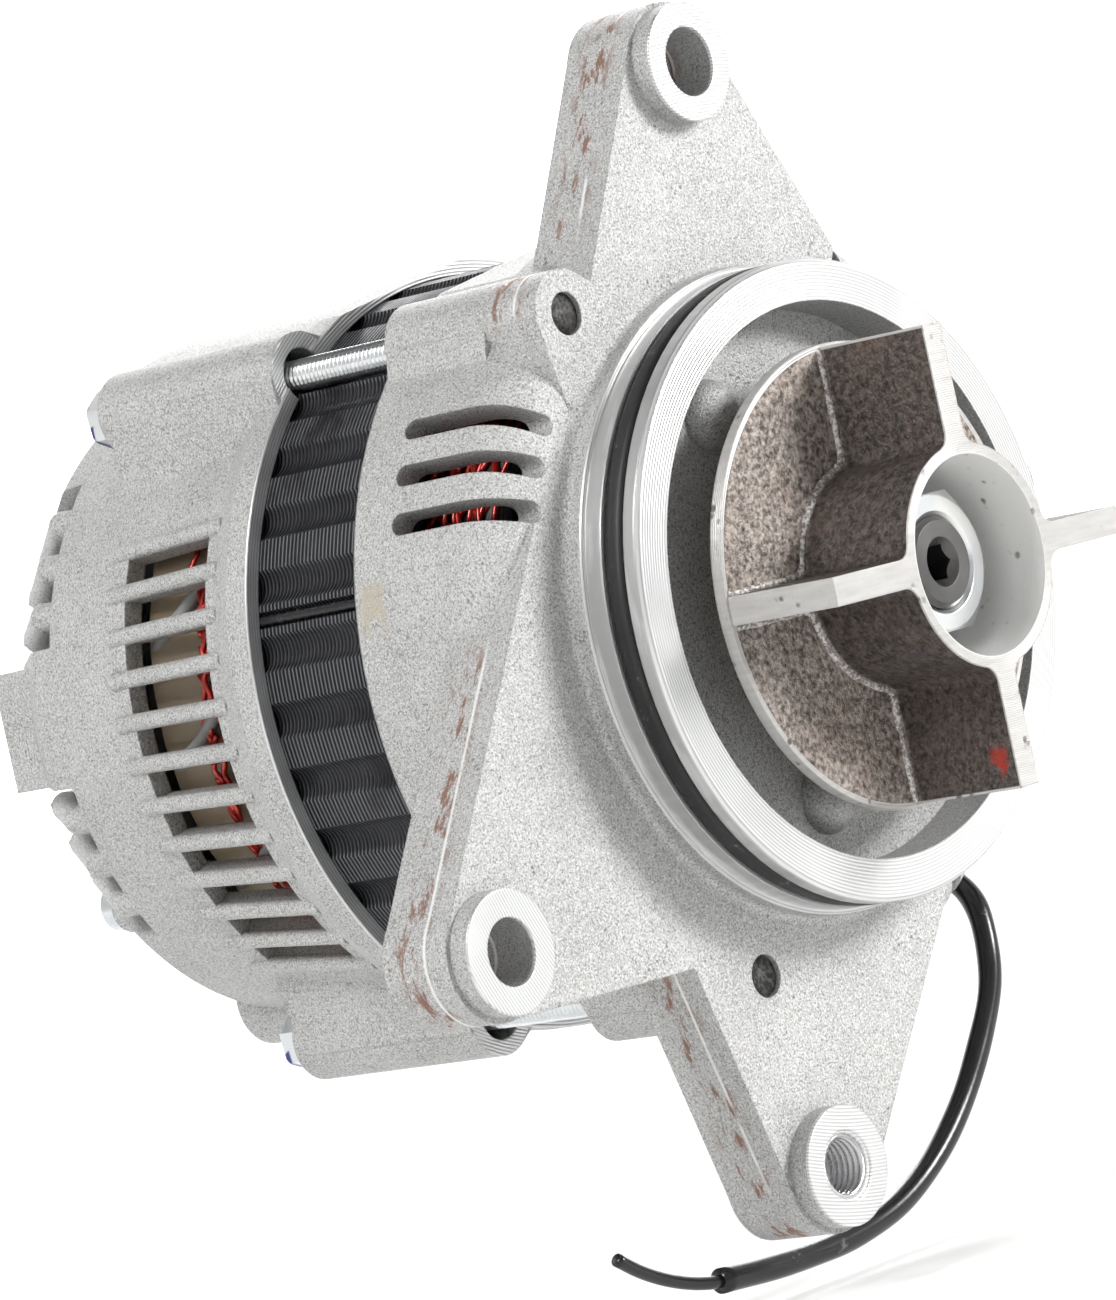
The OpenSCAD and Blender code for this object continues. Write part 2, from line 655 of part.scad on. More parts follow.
module rear_bracket() color("silver") difference() {
    union() {
        difference() {
            union() {
                rear_form();
                for (a = bolt_angles) {
                    out_at(bolt_reach, a) bar(bolt_boss_r, rear_rim_y + rim_step, bolt_seat_y,
                        small_fn * 2);
                    boss_web(a, rear_small_r, web_side, rear_rim_y + 2 * rim_step, bolt_seat_y - 2);
                }
                intersection() {
                    bar(rear_r - 3.8, rear_rim_y + neck_len, rear_shoulder_y - 5);
                    radial_slab(flat_angle, 38, 50, 80, rear_rim_y, body_len);
                }
                out_at(rear_small_r - 3.5, lump_angle)
                    bar(lump_r, bolt_seat_y - 4, body_len - lump_r, small_fn * 2);
                translate([-block_reach, rear_shoulder_y - 6, -8])
                    cube([20, body_len - rear_shoulder_y + 5.4, block_w]);
                radial_slab(lead_angle, 18, rear_small_r - 6, grommet_seat, lead_y - 9, lead_y + 9);
            }
            rear_cavity();
            at_angle(flat_angle) translate([flat_reach, rear_rim_y - 1, -22]) cube([20, neck_len + 9, 44]);
            for (g = rear_vent_groups) rear_opening(g[0], g[1]);
            for (g = side_vent_groups) for (i = [0:g[1] - 1]) radial_slab(g[0] + i * vent_pitch,
                side_vent_w, ledge_r - 12, rear_r, side_vent_y, side_vent_y + side_vent_len);
        }
        for (g = side_vent_groups) for (i = [0:g[1]]) side_rib(g[0] + (i - 0.5) * vent_pitch);
        for (g = rear_vent_groups) for (i = [0.5:g[1] - 1.5]) rear_fin(g[0] + i * rear_vent_pitch);
        bar(rear_housing_r, rear_brg_y, rear_wall_y + 1);
        for (a = rear_screw_angles) out_at(rear_screw_reach, a)
            bar(spacer_r + 0.8, post_y, body_len + pad_h, small_fn);
    }
    bar(rear_brg_r, rear_brg_y - 1, rear_brg_end);
    bar(rear_brg_r - 4, rear_brg_end - 1, rear_brg_end + 2);
    for (a = bolt_angles) out_at(bolt_reach, a) {
        bar(bolt_clear_r, rear_rim_y - 1, bolt_seat_y + 1, small_fn);
        bar(bolt_pocket_r, rear_rim_y - 1, rear_rim_y + bolt_pocket_len, small_fn);
    }
    for (a = rear_screw_angles) out_at(rear_screw_reach, a)
        bar(rear_screw_r + 0.3, post_y - 1, body_len + 2, small_fn);
    out_at(stud_reach, stud_angle) bar(insulator_r - 2 + run_gap, rear_wall_y - 2, body_len + 1, small_fn);
    at_angle(lead_angle) translate([rear_small_r - 20, lead_y, 0]) rotate([0, 90, 0])
        cylinder(r = grommet_r - 1, h = 40, $fn = small_fn);
}

module through_bolts() color("lightsteelblue") for (a = bolt_angles) out_at(bolt_reach, a) {
    bar(bolt_r, bolt_tip_y, bolt_seat_y + spring_washer_t, small_fn);
    intersection() {
        hex_bar(bolt_af, bolt_seat_y + spring_washer_t, bolt_seat_y + spring_washer_t + bolt_head_h);
        translate([0, bolt_seat_y + spring_washer_t, 0]) rotate([-90, 0, 0])
            cylinder(r1 = bolt_af / 2 + 2.4, r2 = bolt_af / 2 - 0.2, h = bolt_head_h, $fn = small_fn);
    }
}

// Split spring washer: a ring with a narrow cut
module bolt_spring_washers() color("lightsteelblue") for (a = bolt_angles) out_at(bolt_reach, a)
    difference() {
    tube(spring_washer_r, bolt_r + fit_gap, bolt_seat_y, bolt_seat_y + spring_washer_t);
    translate([bolt_r - 1, bolt_seat_y - 1, -slit_w / 2]) cube([5, 4, slit_w]);
}

// Outline of one lamination with its flutes, weld grooves, bolt notches and winding slots
module lamination() difference() {
    circle(r = stator_r, $fn = round_fn);
    circle(r = stator_bore / 2, $fn = round_fn);
    for (i = [0:slots - 1]) rotate(flute_start + i * 360 / slots)
        translate([stator_r - flute_depth + flute_r, 0]) circle(r = flute_r, $fn = small_fn);
    for (a = weld_angles) rotate(a) translate([stator_r, 0]) circle(r = 1.5, $fn = small_fn);
    for (a = bolt_angles) rotate(a) translate([bolt_reach, 0])
        circle(r = bolt_clear_r + 0.3, $fn = small_fn);
    for (i = [0:slots - 1]) rotate(i * 360 / slots) {
        translate([stator_bore / 2 - 1, -1.2]) square([4, 2.4]);
        translate([stator_bore / 2 + 1.6, -slot_w / 2]) square([slot_r - stator_bore / 2 - 1.6, slot_w]);
    }
}

module stator_core() color("dimgray") plate(stack_front, stack_rear) lamination();

// Wire of the stator: a ring with a rounded end at each face of the stack and a bar in each slot
module stator_winding() color("firebrick") {
    head_w = head_out - head_in;
    difference() {
        union() {
            tube(head_out, head_in, stack_front - head_len, stack_front);
            tube(head_out, head_in, stack_rear, stack_rear + head_len);
            for (i = [0:slots - 1])
                radial_slab(i * 360 / slots, slot_w - 0.6, head_in + 0.4, slot_r - 0.6, stack_front - 1,
                    stack_rear + 1);
        }
        turned() difference() {
            translate([head_in - 1, stack_front - head_len - 1]) square([head_w + 2, head_w / 2 + 1]);
            translate([head_in + head_w / 2, stack_front - head_len + head_w / 2])
                circle(r = head_w / 2, $fn = small_fn);
        }
        turned() difference() {
            translate([head_in - 1, stack_rear + head_len - head_w / 2])
                square([head_w + 2, head_w / 2 + 1]);
            translate([head_in + head_w / 2, stack_rear + head_len - head_w / 2])
                circle(r = head_w / 2, $fn = small_fn);
        }
    }
}

// Fillet that fills the corner between one side of a vane and the hub
module vane_corner() {
    rise = vane_t / 2 + vane_fillet;
    run = sqrt(pow(hub_r + vane_fillet, 2) - rise * rise);
    foot = [run, rise] * hub_r / (hub_r + vane_fillet);
    difference() {
        polygon([[hub_r - 2, 0], [run, 0], [run, rise], foot, [hub_r - 2, rise]]);
        translate([run, rise]) circle(r = vane_fillet, $fn = small_fn);
    }
}

module drive_coupling() color("rosybrown") difference() {
    union() {
        turned() polygon([[0, boss_back], [boss_r - edge, boss_back], [boss_r, boss_back - edge],
            [boss_r, disc_back + 3],
            [boss_r + 3, disc_back], [disc_r, disc_back], [disc_r, disc_front], [0, disc_front]]);
        plate(vane_y, disc_back) union() {
            circle(r = hub_r, $fn = round_fn);
            for (i = [0:3]) rotate(i * 90) {
                translate([0, -vane_t / 2]) square([disc_r - 0.6, vane_t]);
                vane_corner();
                mirror([0, 1]) vane_corner();
            }
        }
    }
    bar(hub_in_r, vane_y - 1, hub_floor);
    bar(shaft_r + run_gap, hub_floor - 1, boss_back + 1);
    translate([0, hub_floor + 1, -key_w / 2]) cube([shaft_r + 2.4, 20, key_w]);
}

module coupling_key() color("gray") translate([shaft_r + 2.3 - key_h, hub_floor + 1, -key_w / 2 + run_gap])
    cube([key_h, boss_back - hub_floor - 1.5, key_w - 2 * run_gap]);

module coupling_washer() color("lightsteelblue")
    tube(hub_in_r - 2, thread_r + fit_gap, nut_back, hub_floor);

// Hexagonal nut with its corners turned off at both ends
module coupling_nut() color("lightsteelblue") difference() {
    intersection() {
        hex_bar(nut_af, nut_front, nut_back);
        turned() polygon([[0, nut_front], [nut_af / 2 - 0.4, nut_front],
            [nut_af / 2 + 2.2, nut_front + 1.6],
            [nut_af / 2 + 2.2, nut_back - 0.8], [nut_af / 2 + 0.4, nut_back], [0, nut_back]]);
    }
    bar(thread_r + run_gap, nut_front - 1, nut_back + 1);
    translate([0, nut_front - 0.01, 0]) rotate([-90, 0, 0])
        cylinder(r1 = thread_r + 1, r2 = thread_r, h = 1, $fn = small_fn * 2);
}

module rotor_shaft() color("slategray") difference() {
    turned() polygon([[0, shaft_front], [thread_r - edge, shaft_front], [thread_r, shaft_front + edge],
        [thread_r, hub_floor], [shaft_r, hub_floor], [shaft_r, shoulder_y], [shoulder_r, shoulder_y],
        [shoulder_r, pole_front - fan_t - 3], [rotor_shaft_r, pole_front - fan_t - 3],
        [rotor_shaft_r, pole_rear + fan_t + 4], [sleeve_seat_r, pole_rear + fan_t + 4],
        [sleeve_seat_r, sleeve_rear + 3], [rear_shaft_r, sleeve_rear + 3],
        [rear_shaft_r, rear_brg_end - edge / 2], [0, rear_brg_end - edge / 2]]);
    hex_bar(socket_af, shaft_front - 1, shaft_front + 9);
    translate([0, shaft_front - 0.01, 0]) rotate([-90, 0, 0])
        cylinder(r1 = 4.4, r2 = socket_af / 2, h = 1.6, $fn = small_fn);
    translate([shaft_r + 2.3 - key_h, hub_floor + 1, -key_w / 2])
        cube([key_h, boss_back - hub_floor - 1.5, key_w]);
}

module spacer_collar() color("gainsboro") tube(collar_r, shaft_r + run_gap, boss_back, front_brg_y);

// Lip seal: an outer band with a lip that reaches in to the collar
module shaft_seal() color("black") turned()
    polygon([[seal_r - run_gap, floor_y + 0.5], [seal_r - run_gap, floor_y + 0.5 + seal_len],
    [seal_r - 1.5, floor_y + 0.5 + seal_len], [seal_r - 1.5, floor_y + 2], [collar_r + 1.4, floor_y + 2.4],
    [collar_r + part_gap, floor_y + 3.4], [collar_r + part_gap, floor_y + 2.6],
        [collar_r + 1.2, floor_y + 0.5]]);

// Outer race with a groove for the balls
module race_outer(r, w, y0, ball_reach, ball_r) turned() difference() {
    translate([r - race_t, y0]) square([race_t - run_gap, w]);
    translate([ball_reach, y0 + w / 2]) circle(r = ball_r + ball_gap, $fn = small_fn);
}

// Inner race with a groove for the balls
module race_inner(r, w, y0, ball_reach, ball_r) turned() difference() {
    translate([r + run_gap, y0]) square([race_t, w]);
    translate([ball_reach, y0 + w / 2]) circle(r = ball_r + ball_gap, $fn = small_fn);
}

// Reach and radius of the balls between two races
function ball_reach(r_out, r_in) = (r_out + r_in) / 2;
function ball_size(r_out, r_in) = (r_out - r_in) * 0.29;
front_ball_reach = ball_reach(front_brg_r, shaft_r);
front_ball_r = ball_size(front_brg_r, shaft_r);
rear_ball_reach = ball_reach(rear_brg_r, rear_shaft_r);
rear_ball_r = ball_size(rear_brg_r, rear_shaft_r);

module ball_ring(n, reach, r, y) for (i = [0:n - 1]) out_at(reach, i * 360 / n) translate([0, y, 0])
    sphere(r = r, $fn = small_fn);

// Cage: a ring at the balls' middle with a pocket for each ball
module ball_cage(n, reach, r, y) difference() {
    tube(reach + 1, reach - 1, y - r - 1, y + r + 1);
    for (i = [0:n - 1]) out_at(reach, i * 360 / n) translate([0, y, 0]) rotate([0, 90, 0])
        translate([0, 0, -3])
        cylinder(r = r + ball_gap, h = 6, $fn = small_fn);
}

module front_bearing_outer() color("gray")
    race_outer(front_brg_r, front_brg_w, front_brg_y, front_ball_reach, front_ball_r);
module front_bearing_inner() color("gray")
    race_inner(shaft_r, front_brg_w, front_brg_y, front_ball_reach, front_ball_r);
module front_bearing_balls() color("white")
    ball_ring(front_balls, front_ball_reach, front_ball_r, front_brg_y + front_brg_w / 2);
module front_bearing_cage() color("tan")
    ball_cage(front_balls, front_ball_reach, front_ball_r, front_brg_y + front_brg_w / 2);
module rear_bearing_outer() color("gray")
    race_outer(rear_brg_r, rear_brg_w, rear_brg_y, rear_ball_reach, rear_ball_r);
module rear_bearing_inner() color("gray")
    race_inner(rear_shaft_r, rear_brg_w, rear_brg_y, rear_ball_reach, rear_ball_r);
module rear_bearing_balls() color("white")
    ball_ring(rear_balls, rear_ball_reach, rear_ball_r, rear_brg_y + rear_brg_w / 2);
module rear_bearing_cage() color("tan")
    ball_cage(rear_balls, rear_ball_reach, rear_ball_r, rear_brg_y + rear_brg_w / 2);

module bearing_retainer() color("gainsboro") difference() {
    tube(housing_r, retainer_bore, housing_end, housing_end + retainer_t);
    for (i = [0:3]) out_at(screw_reach, 45 + i * 90)
        bar(screw_r + fit_gap, housing_end - 1, housing_end + retainer_t + 1, small_fn);
}

module retainer_screws() color("lightsteelblue") for (i = [0:3]) out_at(screw_reach, 45 + i * 90)
    difference() {
    union() {
        bar(screw_r - run_gap, housing_end - 7, housing_end + retainer_t, small_fn);
        bar(screw_r * 1.9, housing_end + retainer_t, housing_end + retainer_t + 2, small_fn);
    }
    translate([-2, housing_end + retainer_t + 1.2, -0.4]) cube([4, 2, 0.8]);
}

// Wedge that trims one finger, widest at y0 and narrowest at y1
module finger_wedge(y0, y1) {
    root = pole_r * tan(finger_root / 2);
    tip = pole_r * tan(finger_tip / 2);
    translate([25, 0, 0]) rotate([90, 0, 90]) linear_extrude(40)
        polygon([[y0, -root], [y0, root], [y1, tip], [y1, -tip]]);
}

// One pole piece: a disc with fingers that reach across the coil, from y0 to y1
module pole_piece(y0, y1, first) {
    s = sign(y1 - y0);
    lift = y0 + s * pole_t;
    difference() {
        union() {
            turned() polygon([[rotor_shaft_r, y0], [pole_disc_r, y0], [pole_disc_r, lift],
                [rotor_shaft_r, lift]]);
            intersection() {
                turned() polygon([[pole_disc_r - 8, y0], [pole_r - 1.5, y0], [pole_r, y0 + s * 1.5],
                    [pole_r, y1],
                    [pole_r - finger_tip_t, y1], [pole_r - finger_root_t, lift], [pole_disc_r - 8, lift]]);
                for (i = [0:fingers - 1]) at_angle(first + i * 360 / fingers) finger_wedge(y0, y1);
            }
        }
        for (i = [0:fingers - 1]) out_at(pole_disc_r - 3, first + (i + 0.5) * 360 / fingers)
            bar(4.5, min(y0, lift) - 1, max(y0, lift) + 1, small_fn);
    }
}

module front_pole_piece() color("dimgray") pole_piece(pole_front, pole_rear - 1.5, 0);
module rear_pole_piece() color("dimgray") pole_piece(pole_rear, pole_front + 1.5, 180 / fingers);
module rotor_core() color("gray") tube(core_r, rotor_shaft_r, pole_front + pole_t, pole_rear - pole_t);

module coil_bobbin() color("ivory") difference() {
    tube(coil_r, core_r + fit_gap, pole_front + pole_t, pole_rear - pole_t);
    tube(coil_r + 1, core_r + fit_gap + bobbin_t, pole_front + pole_t + bobbin_t,
        pole_rear - pole_t - bobbin_t);
}

module field_coil() color("firebrick")
    tube(coil_r - 1, core_r + fit_gap + bobbin_t, pole_front + pole_t + bobbin_t,
        pole_rear - pole_t - bobbin_t);

// Outline of one curved fan blade
module blade_outline() intersection() {
    translate([24, 18]) difference() {
        circle(r = 24 + blade_t, $fn = small_fn * 2);
        circle(r = 24, $fn = small_fn * 2);
    }
    difference() {
        circle(r = fan_r - 1, $fn = small_fn * 2);
        circle(r = 33, $fn = small_fn * 2);
        translate([-60, -60]) square([61, 120]);
        translate([-60, 10]) square([120, 60]);
    }
}

// One fan: a plate against the pole piece with curved blades that stand away from it
module fan(y_plate, s) {
    y_mid = y_plate + s * fan_t / 2;
    y_far = y_plate + s * fan_t;
    y_tip = y_far + s * blade_h;
    tube(fan_r, fan_hole_r, min(y_plate, y_far), max(y_plate, y_far));
    for (i = [0:blades - 1]) at_angle(i * 360 / blades) plate(min(y_mid, y_tip), max(y_mid, y_tip))
        blade_outline();
}

module front_fan() color("silver") fan(pole_front, -1);
module rear_fan() color("silver") fan(pole_rear, 1);

module slip_ring_sleeve() color("saddlebrown") difference() {
    tube(slip_r + 0.6, sleeve_seat_r, sleeve_front, sleeve_rear);
    for (y = [slip_y, slip_y + slip_pitch]) tube(slip_r + 2, slip_in_r, y, y + slip_w);
}

module slip_rings() color("goldenrod") for (y = [slip_y, slip_y + slip_pitch])
    tube(slip_r, slip_in_r, y, y + slip_w);

// Box that guides the two brushes, open towards the slip rings, with a wing for its two screws
module brush_holder() color("saddlebrown") difference() {
    at_angle(brush_angle) {
        translate([holder_base, slip_y - 2, -7])
            cube([holder_top - holder_base, holder_rear - slip_y + 2, 14]);
        translate([holder_top - 8, holder_rear - wing_t, -holder_wing]) cube([15, wing_t, holder_wing * 2]);
    }
    at_angle(brush_angle) for (y = brush_mids)
        translate([holder_base - 1, y - brush_s / 2 - part_gap, -brush_s / 2 - part_gap])
        cube([spring_top - holder_base + 1, brush_s + 2 * part_gap, brush_s + 2 * part_gap]);
    for (a = holder_screw_angles) out_at(rear_screw_reach, a)
        bar(rear_screw_r + run_gap, slip_y, holder_rear + 1, small_fn);
}

// Brush whose inner end is hollowed to the ring
module brush(y) at_angle(brush_angle) difference() {
    translate([slip_r - 1, y - brush_s / 2, -brush_s / 2]) cube([brush_len + 1, brush_s, brush_s]);
    bar(brush_base, y - brush_s, y + brush_s);
}

// Coil spring shown as its outer tube, between the brush and the holder's top
module brush_spring(y) at_angle(brush_angle) translate([slip_r + brush_len, y, 0]) rotate([0, 90, 0])
    difference() {
        cylinder(r = brush_s / 2 - 0.2, h = spring_top - slip_r - brush_len, $fn = small_fn);
        translate([0, 0, -1]) cylinder(r = brush_s / 2 - 0.8, h = spring_top, $fn = small_fn);
    }

module brush_front() color("dimgray") brush(brush_mids[0]);
module brush_rear() color("dimgray") brush(brush_mids[1]);
module brush_spring_front() color("silver") brush_spring(brush_mids[0]);
module brush_spring_rear() color("silver") brush_spring(brush_mids[1]);

// Regulator: a block between the brush holder and the rear wall, with cooling grooves
module voltage_regulator() color("dimgray") difference() {
    at_angle(brush_angle) difference() {
        translate([rear_housing_r + 3, holder_rear, -holder_wing])
            cube([23.5, post_y - holder_rear, holder_wing * 2]);
        for (i = [-3:3]) translate([rear_housing_r + 2, holder_rear + 8, i * 2.6 - 0.7])
            cube([16, post_y - holder_rear, 1.4]);
    }
    for (a = holder_screw_angles) out_at(rear_screw_reach, a)
        bar(rear_screw_r + 0.3, holder_rear - 1, post_y + 1, small_fn);
}

// Sector plate of the rectifier with its screw holes
module sector_plate(y0, y1, r_in, r_out) difference() {
    plate(y0, y1) sector(r_out, r_in, arc_start, arc_end);
    for (a = plate_screw_angles) out_at(rear_screw_reach, a)
        bar(rear_screw_r + 0.3, y0 - 1, y1 + 1, small_fn);
}

module rectifier_board() color("tan") difference() {
    sector_plate(plate_y - board_len, plate_y, board_in, board_out);
    for (a = [165.5:30:375.5])
        if (abs(a - plate_screw_angles[0]) > 10 && abs(a - plate_screw_angles[1]) > 10)
        radial_slab(a, 10, board_in - 1, board_out - 3, plate_y - board_len - 1, plate_y - 4);
}

module positive_plate() color("silver") difference() {
    sector_plate(plate_y, plate_y + plate_t, plate_in, plate_out);
    out_at(stud_reach, stud_angle) bar(stud_r + run_gap, plate_y - 1, plate_y + plate_t + 1, small_fn);
}

module negative_plate() color("silver") difference() {
    sector_plate(second_plate_y, second_plate_y + plate_t, plate_in, plate_out);
    out_at(stud_reach, stud_angle)
        bar(insulator_r - 1, second_plate_y - 1, second_plate_y + plate_t + 1, small_fn);
}

module rectifier_diodes() color("gray") for (a = diode_angles) {
    out_at(diode_reach, a) bar(diode_r, plate_y + plate_t, plate_y + plate_t + diode_h, small_fn);
    out_at(diode_reach, a) bar(diode_r, second_plate_y + plate_t, second_plate_y + plate_t + diode_h,
        small_fn);
}

module rectifier_spacers() color("tan") for (a = plate_screw_angles) out_at(rear_screw_reach, a) {
    tube(spacer_r, rear_screw_r + fit_gap, plate_y + plate_t, second_plate_y);
    tube(spacer_r, rear_screw_r + fit_gap, second_plate_y + plate_t, post_y);
}

// One cross-head screw from its tip to a pan head on the rear face
module rear_screw(tip) difference() {
    union() {
        bar(rear_screw_r, tip, screw_seat_y, small_fn);
        bar(rear_screw_r + 2.2, screw_seat_y, screw_seat_y + 3.4, small_fn);
    }
    translate([-3, screw_seat_y + 2, -slit_w / 2]) cube([6, 2, slit_w]);
    translate([-slit_w / 2, screw_seat_y + 2, -3]) cube([slit_w, 2, 6]);
}

module rear_screws() color("lightsteelblue") {
    for (a = plate_screw_angles) out_at(rear_screw_reach, a) rear_screw(plate_y - 8);
    for (a = holder_screw_angles) out_at(rear_screw_reach, a) rear_screw(holder_rear - wing_t + 1);
}

module output_stud() color("goldenrod") out_at(stud_reach, stud_angle) union() {
    bar(stud_r, plate_y, stud_seat_y + stud_nut_h, small_fn);
    bar(terminal_d / 2, plate_y, body_len + stud_proud, small_fn);
    hex_bar(stud_d * 1.7, plate_y + plate_t, plate_y + plate_t + 4);
}

module stud_insulator() color("black") out_at(stud_reach, stud_angle) difference() {
    union() {
        bar(insulator_r - 2, rear_wall_y - 2, body_len, small_fn);
        bar(insulator_r, body_len, stud_seat_y, small_fn);
        bar(insulator_r, post_y, rear_wall_y, small_fn);
    }
    bar(stud_r + fit_gap, post_y - 1, stud_seat_y + 1, small_fn);
}

module stud_nut() color("lightsteelblue") out_at(stud_reach, stud_angle) difference() {
    hex_bar(stud_d * 5 / 3, stud_seat_y, stud_seat_y + stud_nut_h);
    bar(stud_r + run_gap, stud_seat_y - 1, stud_seat_y + stud_nut_h + 1, small_fn);
}

// Rubber grommet in the side of the rear bracket, with a tapered flange outside
module lead_grommet() color("black") at_angle(lead_angle) translate([0, lead_y, 0]) rotate([0, 90, 0])
    union() {
    translate([0, 0, grommet_seat - 8]) cylinder(r = grommet_r - 1 - run_gap, h = 9, $fn = small_fn);
    translate([0, 0, grommet_seat])
        cylinder(r1 = grommet_r + 1, r2 = sleeve_d / 2 + 0.9, h = lead_reach - grommet_seat,
            $fn = small_fn);
}

// Direction of a route at its point i
function heading(p, i) = let (a = p[max(i - 1, 0)], b = p[min(i + 1, len(p) - 1)]) (b - a) / norm(b - a);
// Ring of points round a route's point i
function ring(p, i, r, n) = let (t = heading(p, i), u = cross(t, [0.2, 0.3, 1]), v = u / norm(u),
    w = cross(t, v))
    [for (k = [0:n - 1]) p[i] + r * (cos(360 * k / n) * v + sin(360 * k / n) * w)];

// Tube swept along a route
module swept(p, d, n) {
    rings = [for (i = [0:len(p) - 1]) for (q = ring(p, i, d / 2, n)) q];
    last = (len(p) - 1) * n;
    polyhedron(rings, concat(
        [[for (k = [0:n - 1]) k]],
        [for (i = [0:len(p) - 2])
            for (k = [0:n - 1]) [i * n + k, (i + 1) * n + k, (i + 1) * n + (k + 1) % n]],
        [for (i = [0:len(p) - 2])
            for (k = [0:n - 1]) [i * n + k, (i + 1) * n + (k + 1) % n, i * n + (k + 1) % n]],
        [[for (k = [n - 1:-1:0]) last + k]]), convexity = 6);
}

module lead_sleeve() color("black") swept(sleeve_route, sleeve_d, cord_sides);
module lead_wire() color("black") swept(wire_route, wire_d, cord_sides);

front_bracket();
rear_bracket();
pilot_o_ring();
ear_bush();
through_bolts();
bolt_spring_washers();
stator_core();
stator_winding();
drive_coupling();
coupling_key();
coupling_washer();
coupling_nut();
rotor_shaft();
spacer_collar();
shaft_seal();
front_bearing_outer();
front_bearing_inner();
front_bearing_balls();
front_bearing_cage();
bearing_retainer();
retainer_screws();
rear_bearing_outer();
rear_bearing_inner();
rear_bearing_balls();
rear_bearing_cage();
front_pole_piece();
rear_pole_piece();
rotor_core();
coil_bobbin();
field_coil();
front_fan();
rear_fan();
slip_ring_sleeve();
slip_rings();
brush_holder();
brush_front();
brush_rear();
brush_spring_front();
brush_spring_rear();
voltage_regulator();
rectifier_board();
positive_plate();
negative_plate();
rectifier_diodes();
rectifier_spacers();
rear_screws();
output_stud();
stud_insulator();
stud_nut();
lead_grommet();
lead_sleeve();
lead_wire();
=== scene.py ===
import math
import random

import bmesh
import bpy
from mathutils import Matrix, Quaternion, Vector


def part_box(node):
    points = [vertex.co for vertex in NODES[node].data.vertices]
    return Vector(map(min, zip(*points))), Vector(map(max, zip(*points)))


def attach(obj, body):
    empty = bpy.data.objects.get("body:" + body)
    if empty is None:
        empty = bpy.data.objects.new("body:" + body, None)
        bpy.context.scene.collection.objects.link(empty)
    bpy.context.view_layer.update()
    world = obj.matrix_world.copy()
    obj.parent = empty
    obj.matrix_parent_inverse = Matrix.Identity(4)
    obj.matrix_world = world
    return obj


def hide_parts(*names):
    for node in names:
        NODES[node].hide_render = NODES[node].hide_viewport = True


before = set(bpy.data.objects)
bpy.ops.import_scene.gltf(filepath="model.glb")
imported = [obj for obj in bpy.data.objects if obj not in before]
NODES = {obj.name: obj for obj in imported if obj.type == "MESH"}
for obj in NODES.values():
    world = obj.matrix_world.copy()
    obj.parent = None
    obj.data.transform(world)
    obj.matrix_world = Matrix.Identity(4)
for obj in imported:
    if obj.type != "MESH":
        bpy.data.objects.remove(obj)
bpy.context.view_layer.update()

bl_info = {
    "name": "Alternator dressing",
    "version": (1, 0, 0),
    "blender": (4, 5, 0),
    "location": "View3D > Sidebar > Alternator",
    "description": "Finishes and small pieces of an alternator with a vane coupling",
    "category": "Object",
}

MM = 0.001
TURN = 2 * math.pi


# Shader maths

class Signal:
    """A shader socket whose arithmetic adds Math nodes."""

    def __init__(self, finish, socket):
        self.finish = finish
        self.socket = socket

    def maths(self, operation, *values):
        return self.finish.node("ShaderNodeMath", {"operation": operation}, dict(enumerate(values)))

    def __add__(self, other):
        return self.maths("ADD", self, other)

    def __radd__(self, other):
        return self.maths("ADD", other, self)

    def __sub__(self, other):
        return self.maths("SUBTRACT", self, other)

    def __rsub__(self, other):
        return self.maths("SUBTRACT", other, self)

    def __mul__(self, other):
        return self.maths("MULTIPLY", self, other)

    def __rmul__(self, other):
        return self.maths("MULTIPLY", other, self)

    def __truediv__(self, other):
        return self.maths("DIVIDE", self, other)

    def __pow__(self, power):
        return self.maths("POWER", self, power)

    def sine(self):
        return self.maths("SINE", self)

    def absolute(self):
        return self.maths("ABSOLUTE", self)

    def limit(self):
        """At most 1."""
        return self.maths("MINIMUM", self, 1.0)

    def between(self, low, high, soft):
        """1 between low and high, 0 outside, with soft edges."""
        return self.rise(low - soft, low + soft) * (1 - self.rise(high - soft, high + soft))

    def rise(self, low, high):
        """0 below low, 1 above high and a smooth step between."""
        return self.finish.node("ShaderNodeMapRange", {"interpolation_type": "SMOOTHSTEP"},
                                {"Value": self, "From Min": low, "From Max": high})

    def fall(self, low, high):
        return 1 - self.rise(low, high)


